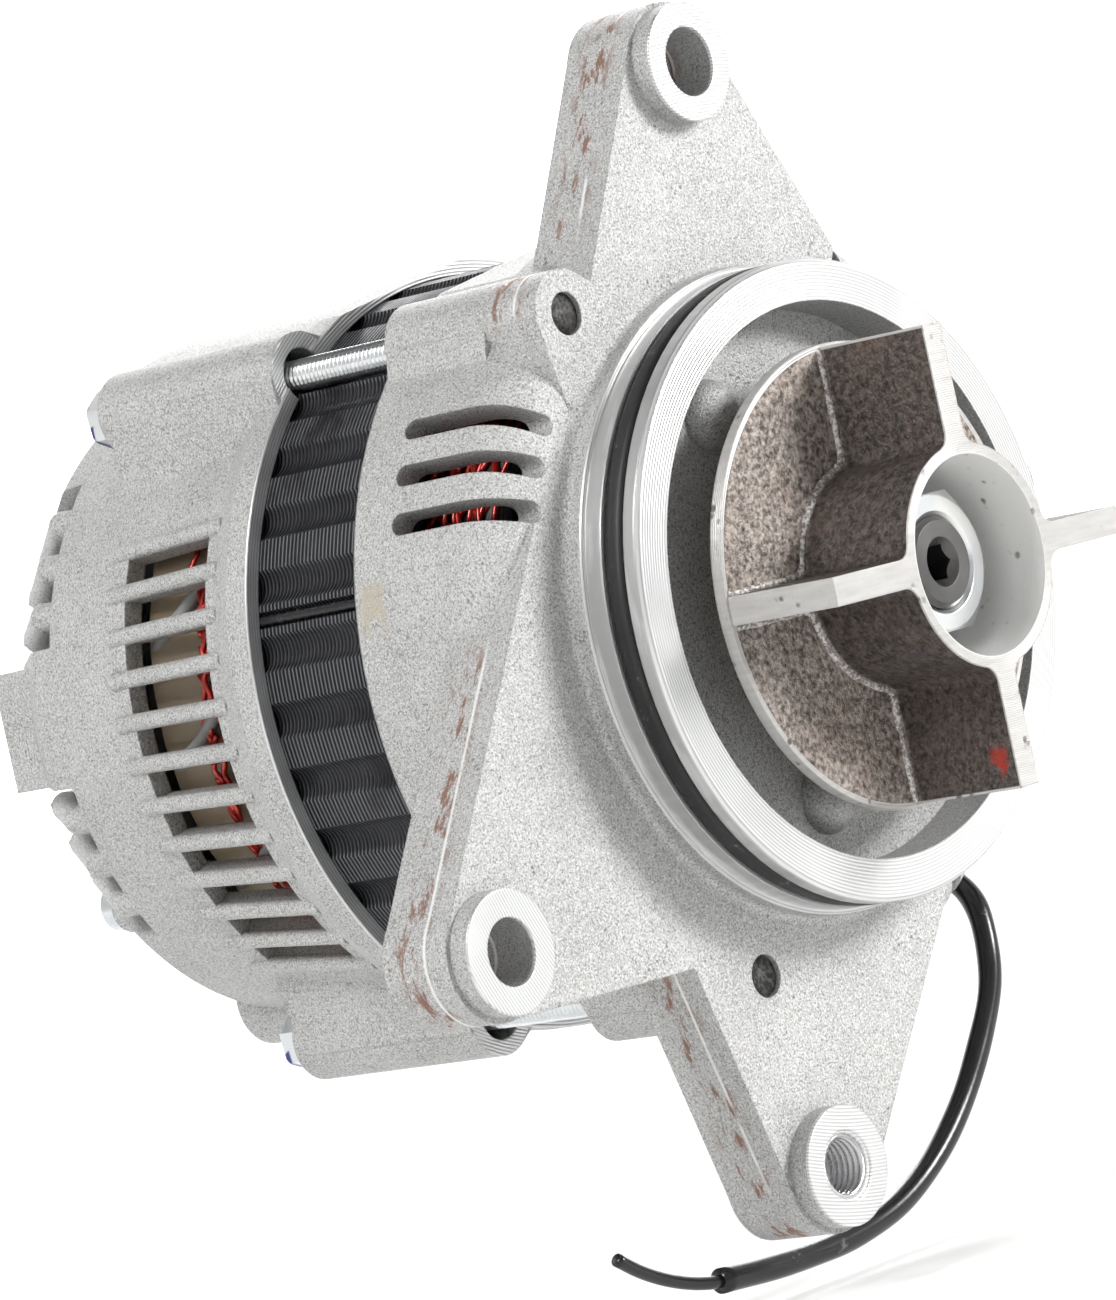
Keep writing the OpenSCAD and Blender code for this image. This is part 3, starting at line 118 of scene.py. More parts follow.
class Finish:
    """A procedural material on one Principled shader."""

    def __init__(self, name, **constants):
        self.material = bpy.data.materials.new(name)
        self.material.use_nodes = True
        self.tree = self.material.node_tree
        self.shader = self.tree.nodes["Principled BSDF"]
        self.place = self.node("ShaderNodeTexCoord", output="Object")
        for socket, value in constants.items():
            self.shader.inputs[socket.replace("_", " ")].default_value = value

    def node(self, kind, settings=None, inputs=None, output=0):
        """Adds a node: its settings first, then the values or links of its sockets."""
        made = self.tree.nodes.new(kind)
        for name, value in (settings or {}).items():
            if name == "stops":
                ramp = made.color_ramp
                while len(ramp.elements) < len(value):
                    ramp.elements.new(0.5)
                for element, (position, colour) in zip(ramp.elements, value):
                    element.position = position
                    element.color = colour
            else:
                setattr(made, name, value)
        for name, value in (inputs or {}).items():
            if isinstance(value, Signal):
                self.tree.links.new(value.socket, made.inputs[name])
            else:
                made.inputs[name].default_value = value
        return Signal(self, made.outputs[output])

    def axes(self):
        """The object's own X, Y and Z in metres."""
        split = self.node("ShaderNodeSeparateXYZ", inputs={0: self.place}).socket.node
        return [Signal(self, socket) for socket in split.outputs]

    def noise(self, scale, detail=3.0, rough=0.55, stretch=None):
        place = self.place
        if stretch:
            place = self.node("ShaderNodeVectorMath", {"operation": "MULTIPLY"}, {0: self.place, 1: stretch})
        return self.node("ShaderNodeTexNoise", {}, {"Vector": place, "Scale": scale, "Detail": detail,
                                                   "Roughness": rough}, "Fac")

    def cells(self, scale, randomness=1.0):
        return self.node("ShaderNodeTexVoronoi", {}, {"Vector": self.place, "Scale": scale,
                                                     "Randomness": randomness}, "Distance")

    def blend(self, factor, first, second):
        """Mixes two colours, each a tuple or a signal."""
        made = self.tree.nodes.new("ShaderNodeMix")
        made.data_type = "RGBA"
        for socket, value in ((made.inputs[0], factor), (made.inputs[6], first), (made.inputs[7], second)):
            if isinstance(value, Signal):
                self.tree.links.new(value.socket, socket)
            elif socket.type == "RGBA":
                socket.default_value = (*value[:3], 1.0)
            else:
                socket.default_value = value
        return Signal(self, made.outputs[2])

    def bump(self, height, distance, normal=None):
        inputs = {"Height": height, "Distance": distance}
        if normal:
            inputs["Normal"] = normal
        return self.node("ShaderNodeBump", {}, inputs, "Normal")

    def soft_edges(self, radius):
        """A normal that rounds the edges of the shape by a radius."""
        return self.node("ShaderNodeBevel", {"samples": 4}, {"Radius": radius})

    def feed(self, **signals):
        for socket, signal in signals.items():
            self.tree.links.new(signal.socket, self.shader.inputs[socket.replace("_", " ")])
        return self.material


def reach_from(x, z, centre=(0.0, 0.0)):
    """Distance from a line along Y through a centre in X and Z."""
    return ((x - centre[0]) ** 2.0 + (z - centre[1]) ** 2.0) ** 0.5


# Finishes

def cast_aluminium(name, machined_of, extra=None):
    """Blasted aluminium casting, with turned or milled faces where machined_of gives 1, and painted shade
    that darkens its corners, crevices and recesses.
    """
    f = Finish(name)
    x, y, z = f.axes()
    radius = reach_from(x, z)
    machined = machined_of(f, x, y, z, radius)
    grain = f.noise(2900.0, 3.0, 0.7)
    sand = f.noise(2300.0, 2.0, 0.5)
    mottle = f.noise(70.0, 4.0, 0.6)
    pits = f.cells(700.0).fall(0.12, 0.3) * f.noise(160.0).rise(0.55, 0.65)
    rings = (radius * (TURN / (0.62 * MM)) + f.noise(14.0) * 3.0).sine()
    cast = f.blend(mottle.rise(0.25, 0.75), (0.42, 0.419, 0.413), (0.50, 0.499, 0.492))
    cast = f.blend(grain.rise(0.47, 0.58) * 0.62, cast, (0.80, 0.80, 0.795))
    cast = f.blend(sand.fall(0.38, 0.46) * 0.6, cast, (0.19, 0.188, 0.183))
    cast = f.blend(pits * 0.5, cast, (0.14, 0.135, 0.13))
    # Painted shade: the colour turns darker where ambient occlusion finds surfaces close by, in corners,
    # recesses and between parts.
    painted_shade_openness = f.node("ShaderNodeAmbientOcclusion", {"samples": 4}, {"Distance": 14 * MM}, "AO")
    cast = f.blend(painted_shade_openness.fall(0.25, 0.75) * 0.25, cast, (0.13, 0.128, 0.12))
    scuffs = f.noise(60.0, 3.0, 0.5, (1.0, 6.0, 1.0))
    turned = f.blend(scuffs, (0.68, 0.68, 0.68), (0.84, 0.84, 0.84))
    turned = f.blend(rings.rise(-0.2, 1.0) * scuffs.rise(0.25, 0.5) * 0.6, turned, (0.34, 0.34, 0.34))
    colour = f.blend(machined, cast, turned)
    if extra:
        colour = extra(f, x, y, z, radius, colour, mottle)
    rough = 0.58 - machined * 0.28 + (grain - 0.5) * 0.12 + mottle * 0.06
    cast_normal = f.bump((1 - machined) * (grain * 0.9 + sand * 0.9 + mottle - pits), 0.2 * MM,
                         f.soft_edges(0.55 * MM))
    normal = f.bump(machined * rings, 0.02 * MM, cast_normal)
    return f.feed(Base_Color=colour, Metallic=0.6 + machined * 0.1, Roughness=rough, Normal=normal)


EARS = [(0.0, 94.0 * MM), (-93.23 * MM, -46.08 * MM), (-21.17 * MM, -98.76 * MM)]


def front_machined(f, x, y, z, radius):
    """The pilot, the ears' faces and the rear rim of the front bracket."""
    pilot = y.fall(0.3 * MM, 0.7 * MM) * radius.rise(48.9 * MM, 49.3 * MM)
    rim = y.rise(39.8 * MM, 39.95 * MM)
    near = [reach_from(x, z, centre).fall(10.9 * MM, 11.1 * MM) for centre in EARS]
    return (pilot + rim + (near[0] + near[1] + near[2]) * y.fall(0.15 * MM, 0.3 * MM)).limit()


def front_marks(f, x, y, z, radius, colour, mottle):
    """Rust and bright parting lines on the ears' sides, and a smear of sealant beside the vents."""
    far = radius.rise(72.0 * MM, 76.0 * MM)
    rust = f.noise(210.0, 5.0, 0.7, (1.0, 2.2, 0.6)).rise(0.50, 0.60)
    rust = rust * y.between(8.0 * MM, 15.0 * MM, 2.0 * MM) * far
    colour = f.blend(rust * 0.85, colour, (0.24, 0.10, 0.055))
    line = y.between(8.7 * MM, 9.3 * MM, 0.2 * MM) * f.noise(30.0).rise(0.44, 0.5) * far
    colour = f.blend(line * 0.8, colour, (0.90, 0.90, 0.89))
    smear = (z.between(9.0 * MM, 17.0 * MM, 1.5 * MM) * y.between(33.0 * MM, 38.6 * MM, 1.0 * MM)
             * x.fall(-60.0 * MM, -58.0 * MM) * f.noise(190.0, 4.0, 0.6).rise(0.42, 0.5))
    return f.blend(smear * 0.8, colour, (0.50, 0.45, 0.36))


def rear_machined(f, x, y, z, radius):
    return y.fall(67.3 * MM, 67.7 * MM)


def coupling_iron():
    """Rough brown-grey iron casting whose vane and hub fronts, rim and hub bore are machined. Its vanes' and
    hub's sides take a much darker copy of the disc's colour, as painted shade.
    """
    f = Finish("coupling_iron")
    x, y, z = f.axes()
    radius = reach_from(x, z)
    front = y.fall(-39.8 * MM, -39.6 * MM)
    bore = radius.fall(17.6 * MM, 17.75 * MM) * y.fall(-15.0 * MM, -14.9 * MM)
    rim = radius.rise(39.9 * MM, 40.1 * MM)
    machined = (front + bore + rim).limit()
    grain = f.noise(1700.0, 4.0, 0.65)
    lumps = f.noise(760.0, 3.0, 0.6)
    rust = f.noise(48.0, 4.0, 0.65).rise(0.45, 0.75)
    spread = (lumps * 0.5 + grain * 0.5).rise(0.34, 0.68)
    disc = f.blend(spread, (0.055, 0.047, 0.041), (0.58, 0.505, 0.45))
    # Painted shade: the vanes' and hub's sides in front of the disc take a far darker copy of the disc's
    # colour.
    sides = f.blend(spread, (0.013, 0.0105, 0.0095), (0.15, 0.125, 0.113))
    cast = f.blend(y.fall(-18.2 * MM, -17.0 * MM), disc, sides)
    cast = f.blend(rust * 0.25, cast, (0.26, 0.155, 0.105))
    cast = f.blend(f.cells(620.0).fall(0.08, 0.16) * 0.22, cast, (0.42, 0.36, 0.31))
    cut = f.blend(f.noise(120.0, 3.0, 0.6, (1.0, 1.0, 8.0)), (0.40, 0.39, 0.38), (0.66, 0.645, 0.625))
    cut = f.blend(bore, cut, (0.88, 0.875, 0.86))
    red = (x.fall(-2.4 * MM, -2.3 * MM) * z.between(-37.5 * MM, -33.0 * MM, 1.0 * MM)
           * y.between(-38.5 * MM, -35.0 * MM, 1.0 * MM) * f.noise(420.0).rise(0.42, 0.5))
    colour = f.blend(red * 0.85, f.blend(machined, cast, cut), (0.42, 0.035, 0.02))
    pits = f.cells(420.0).fall(0.15, 0.35) * f.noise(120.0).rise(0.5, 0.62)
    colour = f.blend(pits * machined * 0.8, colour, (0.05, 0.04, 0.035))
    rough = 0.55 - machined * 0.18 + (grain - 0.5) * 0.2
    cast_normal = f.bump((1 - machined * 0.85) * (lumps * 1.6 + grain * 0.7), 0.30 * MM,
                         f.soft_edges(0.5 * MM))
    rings = (radius * (TURN / (0.4 * MM)) + y * (TURN / (0.4 * MM))).sine() * machined - pits * 8.0 * machined
    return f.feed(Base_Color=colour, Roughness=rough, Metallic=0.35 - bore * 0.15,
                  Normal=f.bump(rings, 0.02 * MM, cast_normal))


def rough_iron(name, dark, light):
    """Speckled rough iron, used bright as the painted highlight on the coupling's ridges and near black as
    the painted shade in the through bolts' holes.
    """
    f = Finish(name, Metallic=0.4)
    speckle = f.noise(1300.0, 3.0, 0.7)
    colour = f.blend(speckle.rise(0.4, 0.62), dark, light)
    return f.feed(Base_Color=colour, Roughness=0.42 + speckle * 0.25, Normal=f.bump(speckle, 0.25 * MM))


def zinc(name, tint=(0.70, 0.76, 0.84), painted=False):
    """Bright zinc plate with a faint bluish and yellowish cast."""
    f = Finish(name, Metallic=1.0)
    x, y, z = f.axes()
    film = f.noise(90.0, 3.0, 0.5)
    colour = f.blend(film, tint, (0.84, 0.82, 0.76))
    grain = f.noise(1800.0, 2.0, 0.6)
    if painted:
        dab = y.rise(116.0 * MM, 116.6 * MM) * f.noise(150.0, 2.0, 0.5).rise(0.53, 0.56)
        colour = f.blend(dab * 0.9, colour, (0.006, 0.02, 0.20))
    rough = 0.24 + film * 0.12 + (grain - 0.5) * 0.1
    edge = f.soft_edges((0.03 if painted else 0.25) * MM)
    return f.feed(Base_Color=colour, Roughness=rough, Normal=f.bump(grain, 0.012 * MM, edge))


def turned_steel(name, dark, light, rough, pitch=0.25):
    """Steel with fine turning marks round the shaft."""
    f = Finish(name, Metallic=1.0)
    x, y, z = f.axes()
    stain = f.noise(70.0, 4.0, 0.6)
    per_line = TURN / (pitch * MM)
    lines = (y * per_line + f.noise(20.0)).sine() + (reach_from(x, z) * per_line).sine()
    colour = f.blend(stain, dark, light)
    return f.feed(Base_Color=colour, Roughness=rough + (stain - 0.5) * 0.2,
                  Normal=f.bump(lines, 0.006 * MM, f.soft_edges(0.2 * MM)))


def varnished_laminations():
    """Black varnish over laminations a millimetre apart, with worn bright edges."""
    f = Finish("varnished_laminations", Metallic=0.1, Specular_IOR_Level=0.2, Coat_Roughness=0.18)
    x, y, z = f.axes()
    radius = reach_from(x, z)
    sheets = (y * (TURN / (0.9 * MM)) + f.noise(24.0) * 0.8).sine()
    fine = f.noise(900.0, 3.0, 0.6, (0.25, 1.0, 0.25))
    land = radius.rise(66.7 * MM, 67.2 * MM)
    worn = sheets.rise(0.1, 0.8) * (0.35 + land * 0.65) * f.noise(75.0, 4.0, 0.6).rise(0.25, 0.5)
    varnish = f.blend(f.noise(60.0), (0.003, 0.003, 0.004), (0.010, 0.010, 0.012))
    colour = f.blend(worn * 0.55, varnish, (0.26, 0.27, 0.29))
    rough = 0.48 + fine * 0.2 - worn * 0.1
    normal = f.bump(sheets * 0.6 + fine * 0.3, 0.22 * MM)
    gloss = 0.22 * f.noise(50.0).rise(0.3, 0.6)
    return f.feed(Base_Color=colour, Roughness=rough, Coat_Weight=gloss, Normal=normal)


def enamelled_copper():
    """Red enamel on copper wire."""
    f = Finish("enamelled_copper", Metallic=0.6, Coat_Roughness=0.08)
    tone = f.noise(160.0, 3.0, 0.6)
    colour = f.blend(tone, (0.30, 0.010, 0.006), (0.80, 0.045, 0.025))
    return f.feed(Base_Color=colour, Roughness=0.22 + tone * 0.2, Coat_Weight=tone.rise(0.1, 0.5),
                  Normal=f.bump(f.noise(900.0), 0.03 * MM))


def moulding(name, dark, light, rough=0.5, metallic=0.0, grain_mm=0.05):
    """Moulded resin, rubber or plastic with a soft tone change and fine grain."""
    f = Finish(name, Metallic=metallic)
    tone = f.noise(45.0, 4.0, 0.6)
    grain = f.noise(1500.0, 3.0, 0.6)
    dust = f.noise(260.0, 5.0, 0.7).rise(0.62, 0.72)
    colour = f.blend(dust * 0.25, f.blend(tone, dark, light), (0.42, 0.40, 0.37))
    return f.feed(Base_Color=colour, Roughness=rough + (grain - 0.5) * 0.2 + dust * 0.1,
                  Normal=f.bump(grain + tone, grain_mm * MM, f.soft_edges(0.3 * MM)))


def stage_paper():
    f = Finish("stage_paper", Specular_IOR_Level=0.2)
    tone = f.noise(3.0, 2.0, 0.5)
    colour = f.blend(tone, (0.82, 0.82, 0.815), (0.85, 0.85, 0.845))
    return f.feed(Base_Color=colour, Roughness=0.8 + tone * 0.1)


def make_finishes():
    """Every finish by name, each made once."""
    return {
        "front_casting": cast_aluminium("front_casting", front_machined, front_marks),
        "rear_casting": cast_aluminium("rear_casting", rear_machined),
        "coupling_iron": coupling_iron(),
        # Painted highlight: the bright iron of the coupling's ridges stands in for the highlights on the
        # fillets.
        "painted_highlight_ridge_iron": rough_iron("painted_highlight_ridge_iron", (0.22, 0.20, 0.185), (0.74, 0.71, 0.685)),
        # Painted shade: the near-black iron of the caps that darken the through bolts' holes.
        "painted_shade_hole_iron": rough_iron("painted_shade_hole_iron", (0.030, 0.029, 0.028), (0.13, 0.127, 0.124)),
        "zinc": zinc("zinc"),
        "painted_zinc": zinc("painted_zinc", painted=True),
        "dark_steel": turned_steel("dark_steel", (0.07, 0.07, 0.072), (0.18, 0.175, 0.17), 0.42),
        "ground_steel": turned_steel("ground_steel", (0.55, 0.55, 0.56), (0.78, 0.78, 0.79), 0.16, 0.1),
        "pole_iron": turned_steel("pole_iron", (0.05, 0.05, 0.055), (0.13, 0.125, 0.12), 0.5, 0.5),
        "pressed_steel": turned_steel("pressed_steel", (0.42, 0.42, 0.43), (0.60, 0.60, 0.60), 0.35, 1.2),
        "laminations": varnished_laminations(),
        "copper_wire": enamelled_copper(),
        "ring_copper": turned_steel("ring_copper", (0.62, 0.30, 0.14), (0.80, 0.46, 0.26), 0.25),
        "brass": turned_steel("brass", (0.66, 0.50, 0.22), (0.80, 0.66, 0.36), 0.28),
        "plate": turned_steel("plate", (0.66, 0.66, 0.66), (0.80, 0.80, 0.80), 0.34, 0.9),
        "rubber": moulding("rubber", (0.005, 0.005, 0.005), (0.016, 0.016, 0.016), 0.5),
        "glossy_sleeve": moulding("glossy_sleeve", (0.006, 0.006, 0.007), (0.016, 0.016, 0.018), 0.22, 0.0,
                                  0.02),
        "tan_resin": moulding("tan_resin", (0.26, 0.19, 0.125), (0.44, 0.36, 0.26), 0.4),
        "dark_resin": moulding("dark_resin", (0.018, 0.016, 0.015), (0.05, 0.045, 0.04), 0.5),
        "grey_sleeving": moulding("grey_sleeving", (0.26, 0.26, 0.26), (0.42, 0.42, 0.41), 0.6),
        "carbon": moulding("carbon", (0.03, 0.03, 0.032), (0.07, 0.07, 0.072), 0.4, 0.4),
        "bare_copper": turned_steel("bare_copper", (0.55, 0.24, 0.12), (0.78, 0.42, 0.26), 0.3, 0.6),
    }


FINISH_OF = {
    "front_casting": ["front_bracket"],
    "rear_casting": ["rear_bracket"],
    "coupling_iron": ["drive_coupling"],
    "zinc": ["coupling_washer", "coupling_nut", "retainer_screws", "rear_screws", "stud_nut",
             "bolt_spring_washers", "brush_spring_front", "brush_spring_rear"],
    "painted_zinc": ["through_bolts"],
    "dark_steel": ["rotor_shaft", "coupling_key", "spacer_collar"],
    "ground_steel": ["front_bearing_outer", "front_bearing_inner", "front_bearing_balls",
                     "rear_bearing_outer",
                     "rear_bearing_inner", "rear_bearing_balls", "ear_bush"],
    "pole_iron": ["front_pole_piece", "rear_pole_piece", "rotor_core"],
    "pressed_steel": ["front_fan", "rear_fan", "bearing_retainer"],
    "laminations": ["stator_core"],
    "copper_wire": ["stator_winding", "field_coil"],
    "ring_copper": ["slip_rings"],
    "brass": ["output_stud"],
    "plate": ["positive_plate", "negative_plate", "rectifier_diodes"],
    "rubber": ["pilot_o_ring", "shaft_seal", "lead_grommet"],
    "glossy_sleeve": ["lead_sleeve", "lead_wire"],
    "tan_resin": ["rectifier_board", "rectifier_spacers", "front_bearing_cage", "rear_bearing_cage",
                  "coil_bobbin"],
    "dark_resin": ["slip_ring_sleeve", "brush_holder", "voltage_regulator", "stud_insulator"],
    "carbon": ["brush_front", "brush_rear"],
}
FINISHES = {}


# Mesh helpers

def new_piece(name, finish, body, build, smooth=True):
    """A mesh piece that build fills in, with its finish, body and material slot."""
    mesh = bpy.data.meshes.new(name)
    shape = bmesh.new()
    build(shape)
    bmesh.ops.recalc_face_normals(shape, faces=shape.faces)
    for face in shape.faces:
        face.smooth = smooth
    shape.to_mesh(mesh)
    shape.free()
    piece = bpy.data.objects.new(name, mesh)
    bpy.context.scene.collection.objects.link(piece)
    mesh.materials.append(FINISHES[finish])
    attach(piece, body)
    return piece


def add_tube(shape, path, radius_at, sides=12):
    """A closed tube along a path, whose radius may change with the share of its length."""
    rings = []
    normal = Vector((0.2, 0.3, 1.0))
    count = len(path)
    for i, point in enumerate(path):
        along = (path[min(i + 1, count - 1)] - path[max(i - 1, 0)]).normalized()
        normal = (normal - along * normal.dot(along)).normalized()
        across = along.cross(normal)
        radius = radius_at(i / (count - 1))
        rings.append([shape.verts.new(point + radius * (math.cos(TURN * k / sides) * normal
                                                        + math.sin(TURN * k / sides) * across))
                      for k in range(sides)])
    for a, b in zip(rings, rings[1:]):
        for k in range(sides):
            shape.faces.new((a[k], a[(k + 1) % sides], b[(k + 1) % sides], b[k]))
    shape.faces.new(rings[0][::-1])
    shape.faces.new(rings[-1])


def add_ring(shape, outline, sides=96):
    """A closed ring turned round the shaft from an outline of reaches in millimetres and places in metres."""
    rings = [[shape.verts.new(polar(reach * MM, 360.0 * k / sides, y)) for k in range(sides)]
             for reach, y in outline]
    for a, b in zip(rings, rings[1:] + rings[:1]):
        for k in range(sides):
            shape.faces.new((a[k], b[k], b[(k + 1) % sides], a[(k + 1) % sides]))


def smooth_path(points, steps):
    """A Catmull-Rom curve through the points, with steps between each pair."""
    path = []
    ends = [2 * points[0] - points[1], *points, 2 * points[-1] - points[-2]]
    for a, b, c, d in zip(ends, ends[1:], ends[2:], ends[3:]):
        for i in range(steps):
            t = i / steps
            path.append(0.5 * (2 * b + (c - a) * t + (2 * a - 5 * b + 4 * c - d) * t * t
                               + (3 * b - a - 3 * c + d) * t ** 3))
    return [*path, points[-1]]


def path_length(path):
    return sum((b - a).length for a, b in zip(path, path[1:]))


def polar(reach, degrees, y):
    """A point at a reach and angle round the shaft, and a place along it."""
    angle = math.radians(degrees)
    return Vector((reach * math.cos(angle), y, reach * math.sin(angle)))


# Route of the lead, as in the CAD, in millimetres
SLEEVE_ROUTE = [(50.2, 97, -50.2), (53.2, 97, -53.2), (57, 95, -55.5), (60.5, 89, -56.5), (63.5, 80, -56.5),
                (65.5, 68, -56), (66.5, 57, -56.5), (66.5, 46, -57.5), (65.5, 36, -60), (63.5, 29, -64.5),
                (61, 25.5, -71), (57.5, 24, -80.5), (51, 24, -90), (42, 24, -99.5), (31, 24, -107.5),
                (19, 24, -112.8), (6, 24, -115.4), (-7, 24, -116), (-20, 24, -115.6), (-33, 24, -114.6)]
WIRE_ROUTE = [(-38, 24, -113.8), (-43, 24, -112.4), (-48, 24, -110.5), (-53, 24, -108), (-58, 24, -104.8)]
BOLT_ANGLES = [126.9, 246.9, 6.9]

# Places in degrees round the shaft, sizes in millimetres
THREAD_ROOT, THREAD_CREST, THREAD_END, HEAD_HEIGHT = 2.62, 2.98, 80.0, 4.2
STACK_FRONT, STACK_REAR = 37.0, 70.0
FRONT_STRANDS, REAR_STRANDS, CROWN_STRANDS = 100, 132, 96
STRAND_SPAN, CROWN_REACH = 42.0, 58.75
PHASE_LEAD_ANGLES = ((152.0, 167.0), (177.0, 189.0), (203.0, 214.0))
KNOB_ANGLES, KNOB_REACH, KNOB_RADIUS, KNOB_BASE, KNOB_RISE = (118.0, 256.5), 37.5, 6.3, -1.6, 4.9
SEAM_ANGLES, SEAM_REACH = (167.5, 287.5, 47.5), 66.5
SHADE_CAP_RADIUS, RIDGE_Y = 3.78, -16.75

# Name, place, size, share of the key power and aim of each lamp, in metres
MIDDLE = (0.0, 0.04, 0.0)
LAMPS = [("key", (0.85, -1.45, 0.7), 0.5, 3.0, MIDDLE), ("top", (-1.4, 0.1, 1.1), 0.6, 1.9, MIDDLE),
         ("backdrop_low", (2.0, 1.8, 1.7), 1.6, 6.0, (2.0, 1.8, -0.12)),
         ("backdrop_high", (0.9, 0.8, 1.6), 1.2, 7.5, (3.4, 3.0, 0.6))]


class AlternatorSizes(bpy.types.PropertyGroup):
    """Sizes of the pieces that the scene adds."""

    sleeve_diameter: bpy.props.FloatProperty(
        name="Sleeve diameter", description="Outside diameter of the sleeve over the lead",
        default=4.6 * MM, unit="LENGTH")
    wire_diameter: bpy.props.FloatProperty(
        name="Wire diameter", description="Outside diameter of the wire in the sleeve",
        default=2.4 * MM, unit="LENGTH")
    bolt_reach: bpy.props.FloatProperty(
        name="Bolt reach", description="Distance of the through bolts from the shaft",
        default=69.0 * MM, unit="LENGTH")
    thread_pitch: bpy.props.FloatProperty(
        name="Thread pitch", description="Pitch of the through bolts' threads",
        default=1.0 * MM, unit="LENGTH")
    strand_radius: bpy.props.FloatProperty(
        name="Strand radius", description="Radius of a winding wire",
        default=0.55 * MM, unit="LENGTH")


class AlternatorCamera(bpy.types.PropertyGroup):
    """Place and aim of the camera."""

    place: bpy.props.FloatVectorProperty(
        name="Place", description="Place of the camera", size=3, subtype="TRANSLATION",
        default=(-888.73 * MM, -735.82 * MM, 37.02 * MM))
    azimuth: bpy.props.FloatProperty(
        name="Azimuth", description="Direction of view from +Y towards +X",
        default=math.radians(48.183), subtype="ANGLE")
    dip: bpy.props.FloatProperty(
        name="Dip", description="How far the camera looks down", default=math.radians(1.912), subtype="ANGLE")
    roll: bpy.props.FloatProperty(
        name="Roll", description="Clockwise roll of the camera", default=math.radians(12.27), subtype="ANGLE")
    focal_pixels: bpy.props.FloatProperty(
        name="Focal length in pixels", description="Focal length in pixels of the full picture",
        default=6600.0)
    picture_height: bpy.props.FloatProperty(
        name="Picture height", description="Height of the full picture in pixels", default=1300.0)


class AlternatorStage(bpy.types.PropertyGroup):
    """Floor and lights."""

    floor_height: bpy.props.FloatProperty(
        name="Floor height", description="Height of the floor", default=-122.0 * MM, unit="LENGTH")
    key_power: bpy.props.FloatProperty(
        name="Key power", description="Power of the main light", default=11.0, unit="POWER")
    sky: bpy.props.FloatProperty(
        name="Sky", description="Strength of the even light from all round", default=0.09)


class MakeFinishes(bpy.types.Operator):
    """Makes every finish and gives each CAD node its own"""

    bl_idname = "alternator.finishes"
    bl_label = "Finishes"

    def execute(self, context):
        FINISHES.update(make_finishes())
        for finish, names in FINISH_OF.items():
            for name in names:
                mesh = NODES[name].data
                mesh.materials.clear()
                mesh.materials.append(FINISHES[finish])
        return {"FINISHED"}


class MakeStage(bpy.types.Operator):
    """Makes the camera, the lights and the pale floor"""

    bl_idname = "alternator.stage"
    bl_label = "Stage"

    def execute(self, context):
        scene = context.scene
        self.make_camera(scene, scene.alternator_camera)
        self.make_floor(scene, scene.alternator_stage)
        self.make_lights(scene, scene.alternator_stage)
        return {"FINISHED"}

    def make_camera(self, scene, settings):
        camera = bpy.data.objects.new("camera", bpy.data.cameras.new("camera"))
        scene.collection.objects.link(camera)
        scene.camera = camera
        camera.data.lens = settings.focal_pixels * camera.data.sensor_width / settings.picture_height
        camera.data.clip_start = 0.05
        level = math.cos(settings.dip)
        aim = Vector((math.sin(settings.azimuth) * level, math.cos(settings.azimuth) * level,
                      -math.sin(settings.dip)))
        camera.rotation_mode = "QUATERNION"
        camera.rotation_quaternion = aim.to_track_quat("-Z", "Y") @ Quaternion((0, 0, 1), -settings.roll)
        camera.location = settings.place

    def make_floor(self, scene, settings):
        """A sheet of paper that is level below the part and curves up far away on every side."""
        mesh = bpy.data.meshes.new("paper")
        shape = bmesh.new()
        flat, bend, wall = 2.2, 1.6, 3.0
        profile = [(0.0, 0.0), (flat, 0.0)]
        profile += [(flat + bend * math.sin(t), bend - bend * math.cos(t))
                    for t in (math.pi / 2 * i / 10 for i in range(1, 11))]
        profile.append((flat + bend, bend + wall))
        steps = 64
        rings = [[shape.verts.new((r * math.cos(TURN * k / steps), r * math.sin(TURN * k / steps),
                                   settings.floor_height + h)) for k in range(steps)]
                 for r, h in profile[1:]]
        shape.faces.new(rings[0])
        for a, b in zip(rings, rings[1:]):
            for k in range(steps):
                shape.faces.new((a[k], b[k], b[(k + 1) % steps], a[(k + 1) % steps]))
        for face in shape.faces:
            face.smooth = True
        shape.to_mesh(mesh)
        shape.free()
        paper = bpy.data.objects.new("paper", mesh)
        scene.collection.objects.link(paper)
        mesh.materials.append(stage_paper())

    def make_lights(self, scene, settings):
        world = bpy.data.worlds.new("even_light")
        world.use_nodes = True
        world.node_tree.nodes["Background"].inputs["Color"].default_value = (1.0, 1.0, 1.0, 1.0)
        world.node_tree.nodes["Background"].inputs["Strength"].default_value = settings.sky
        scene.world = world
        scene.view_settings.view_transform = "Standard"
        for name, place, size, share, aim in LAMPS:
            lamp = bpy.data.lights.new(name, "AREA")
            lamp.size = size
            lamp.energy = settings.key_power * share
            thing = bpy.data.objects.new(name, lamp)
            scene.collection.objects.link(thing)
            thing.location = place
            thing.rotation_mode = "QUATERNION"
            thing.rotation_quaternion = (Vector(aim) - Vector(place)).to_track_quat("-Z", "Y")


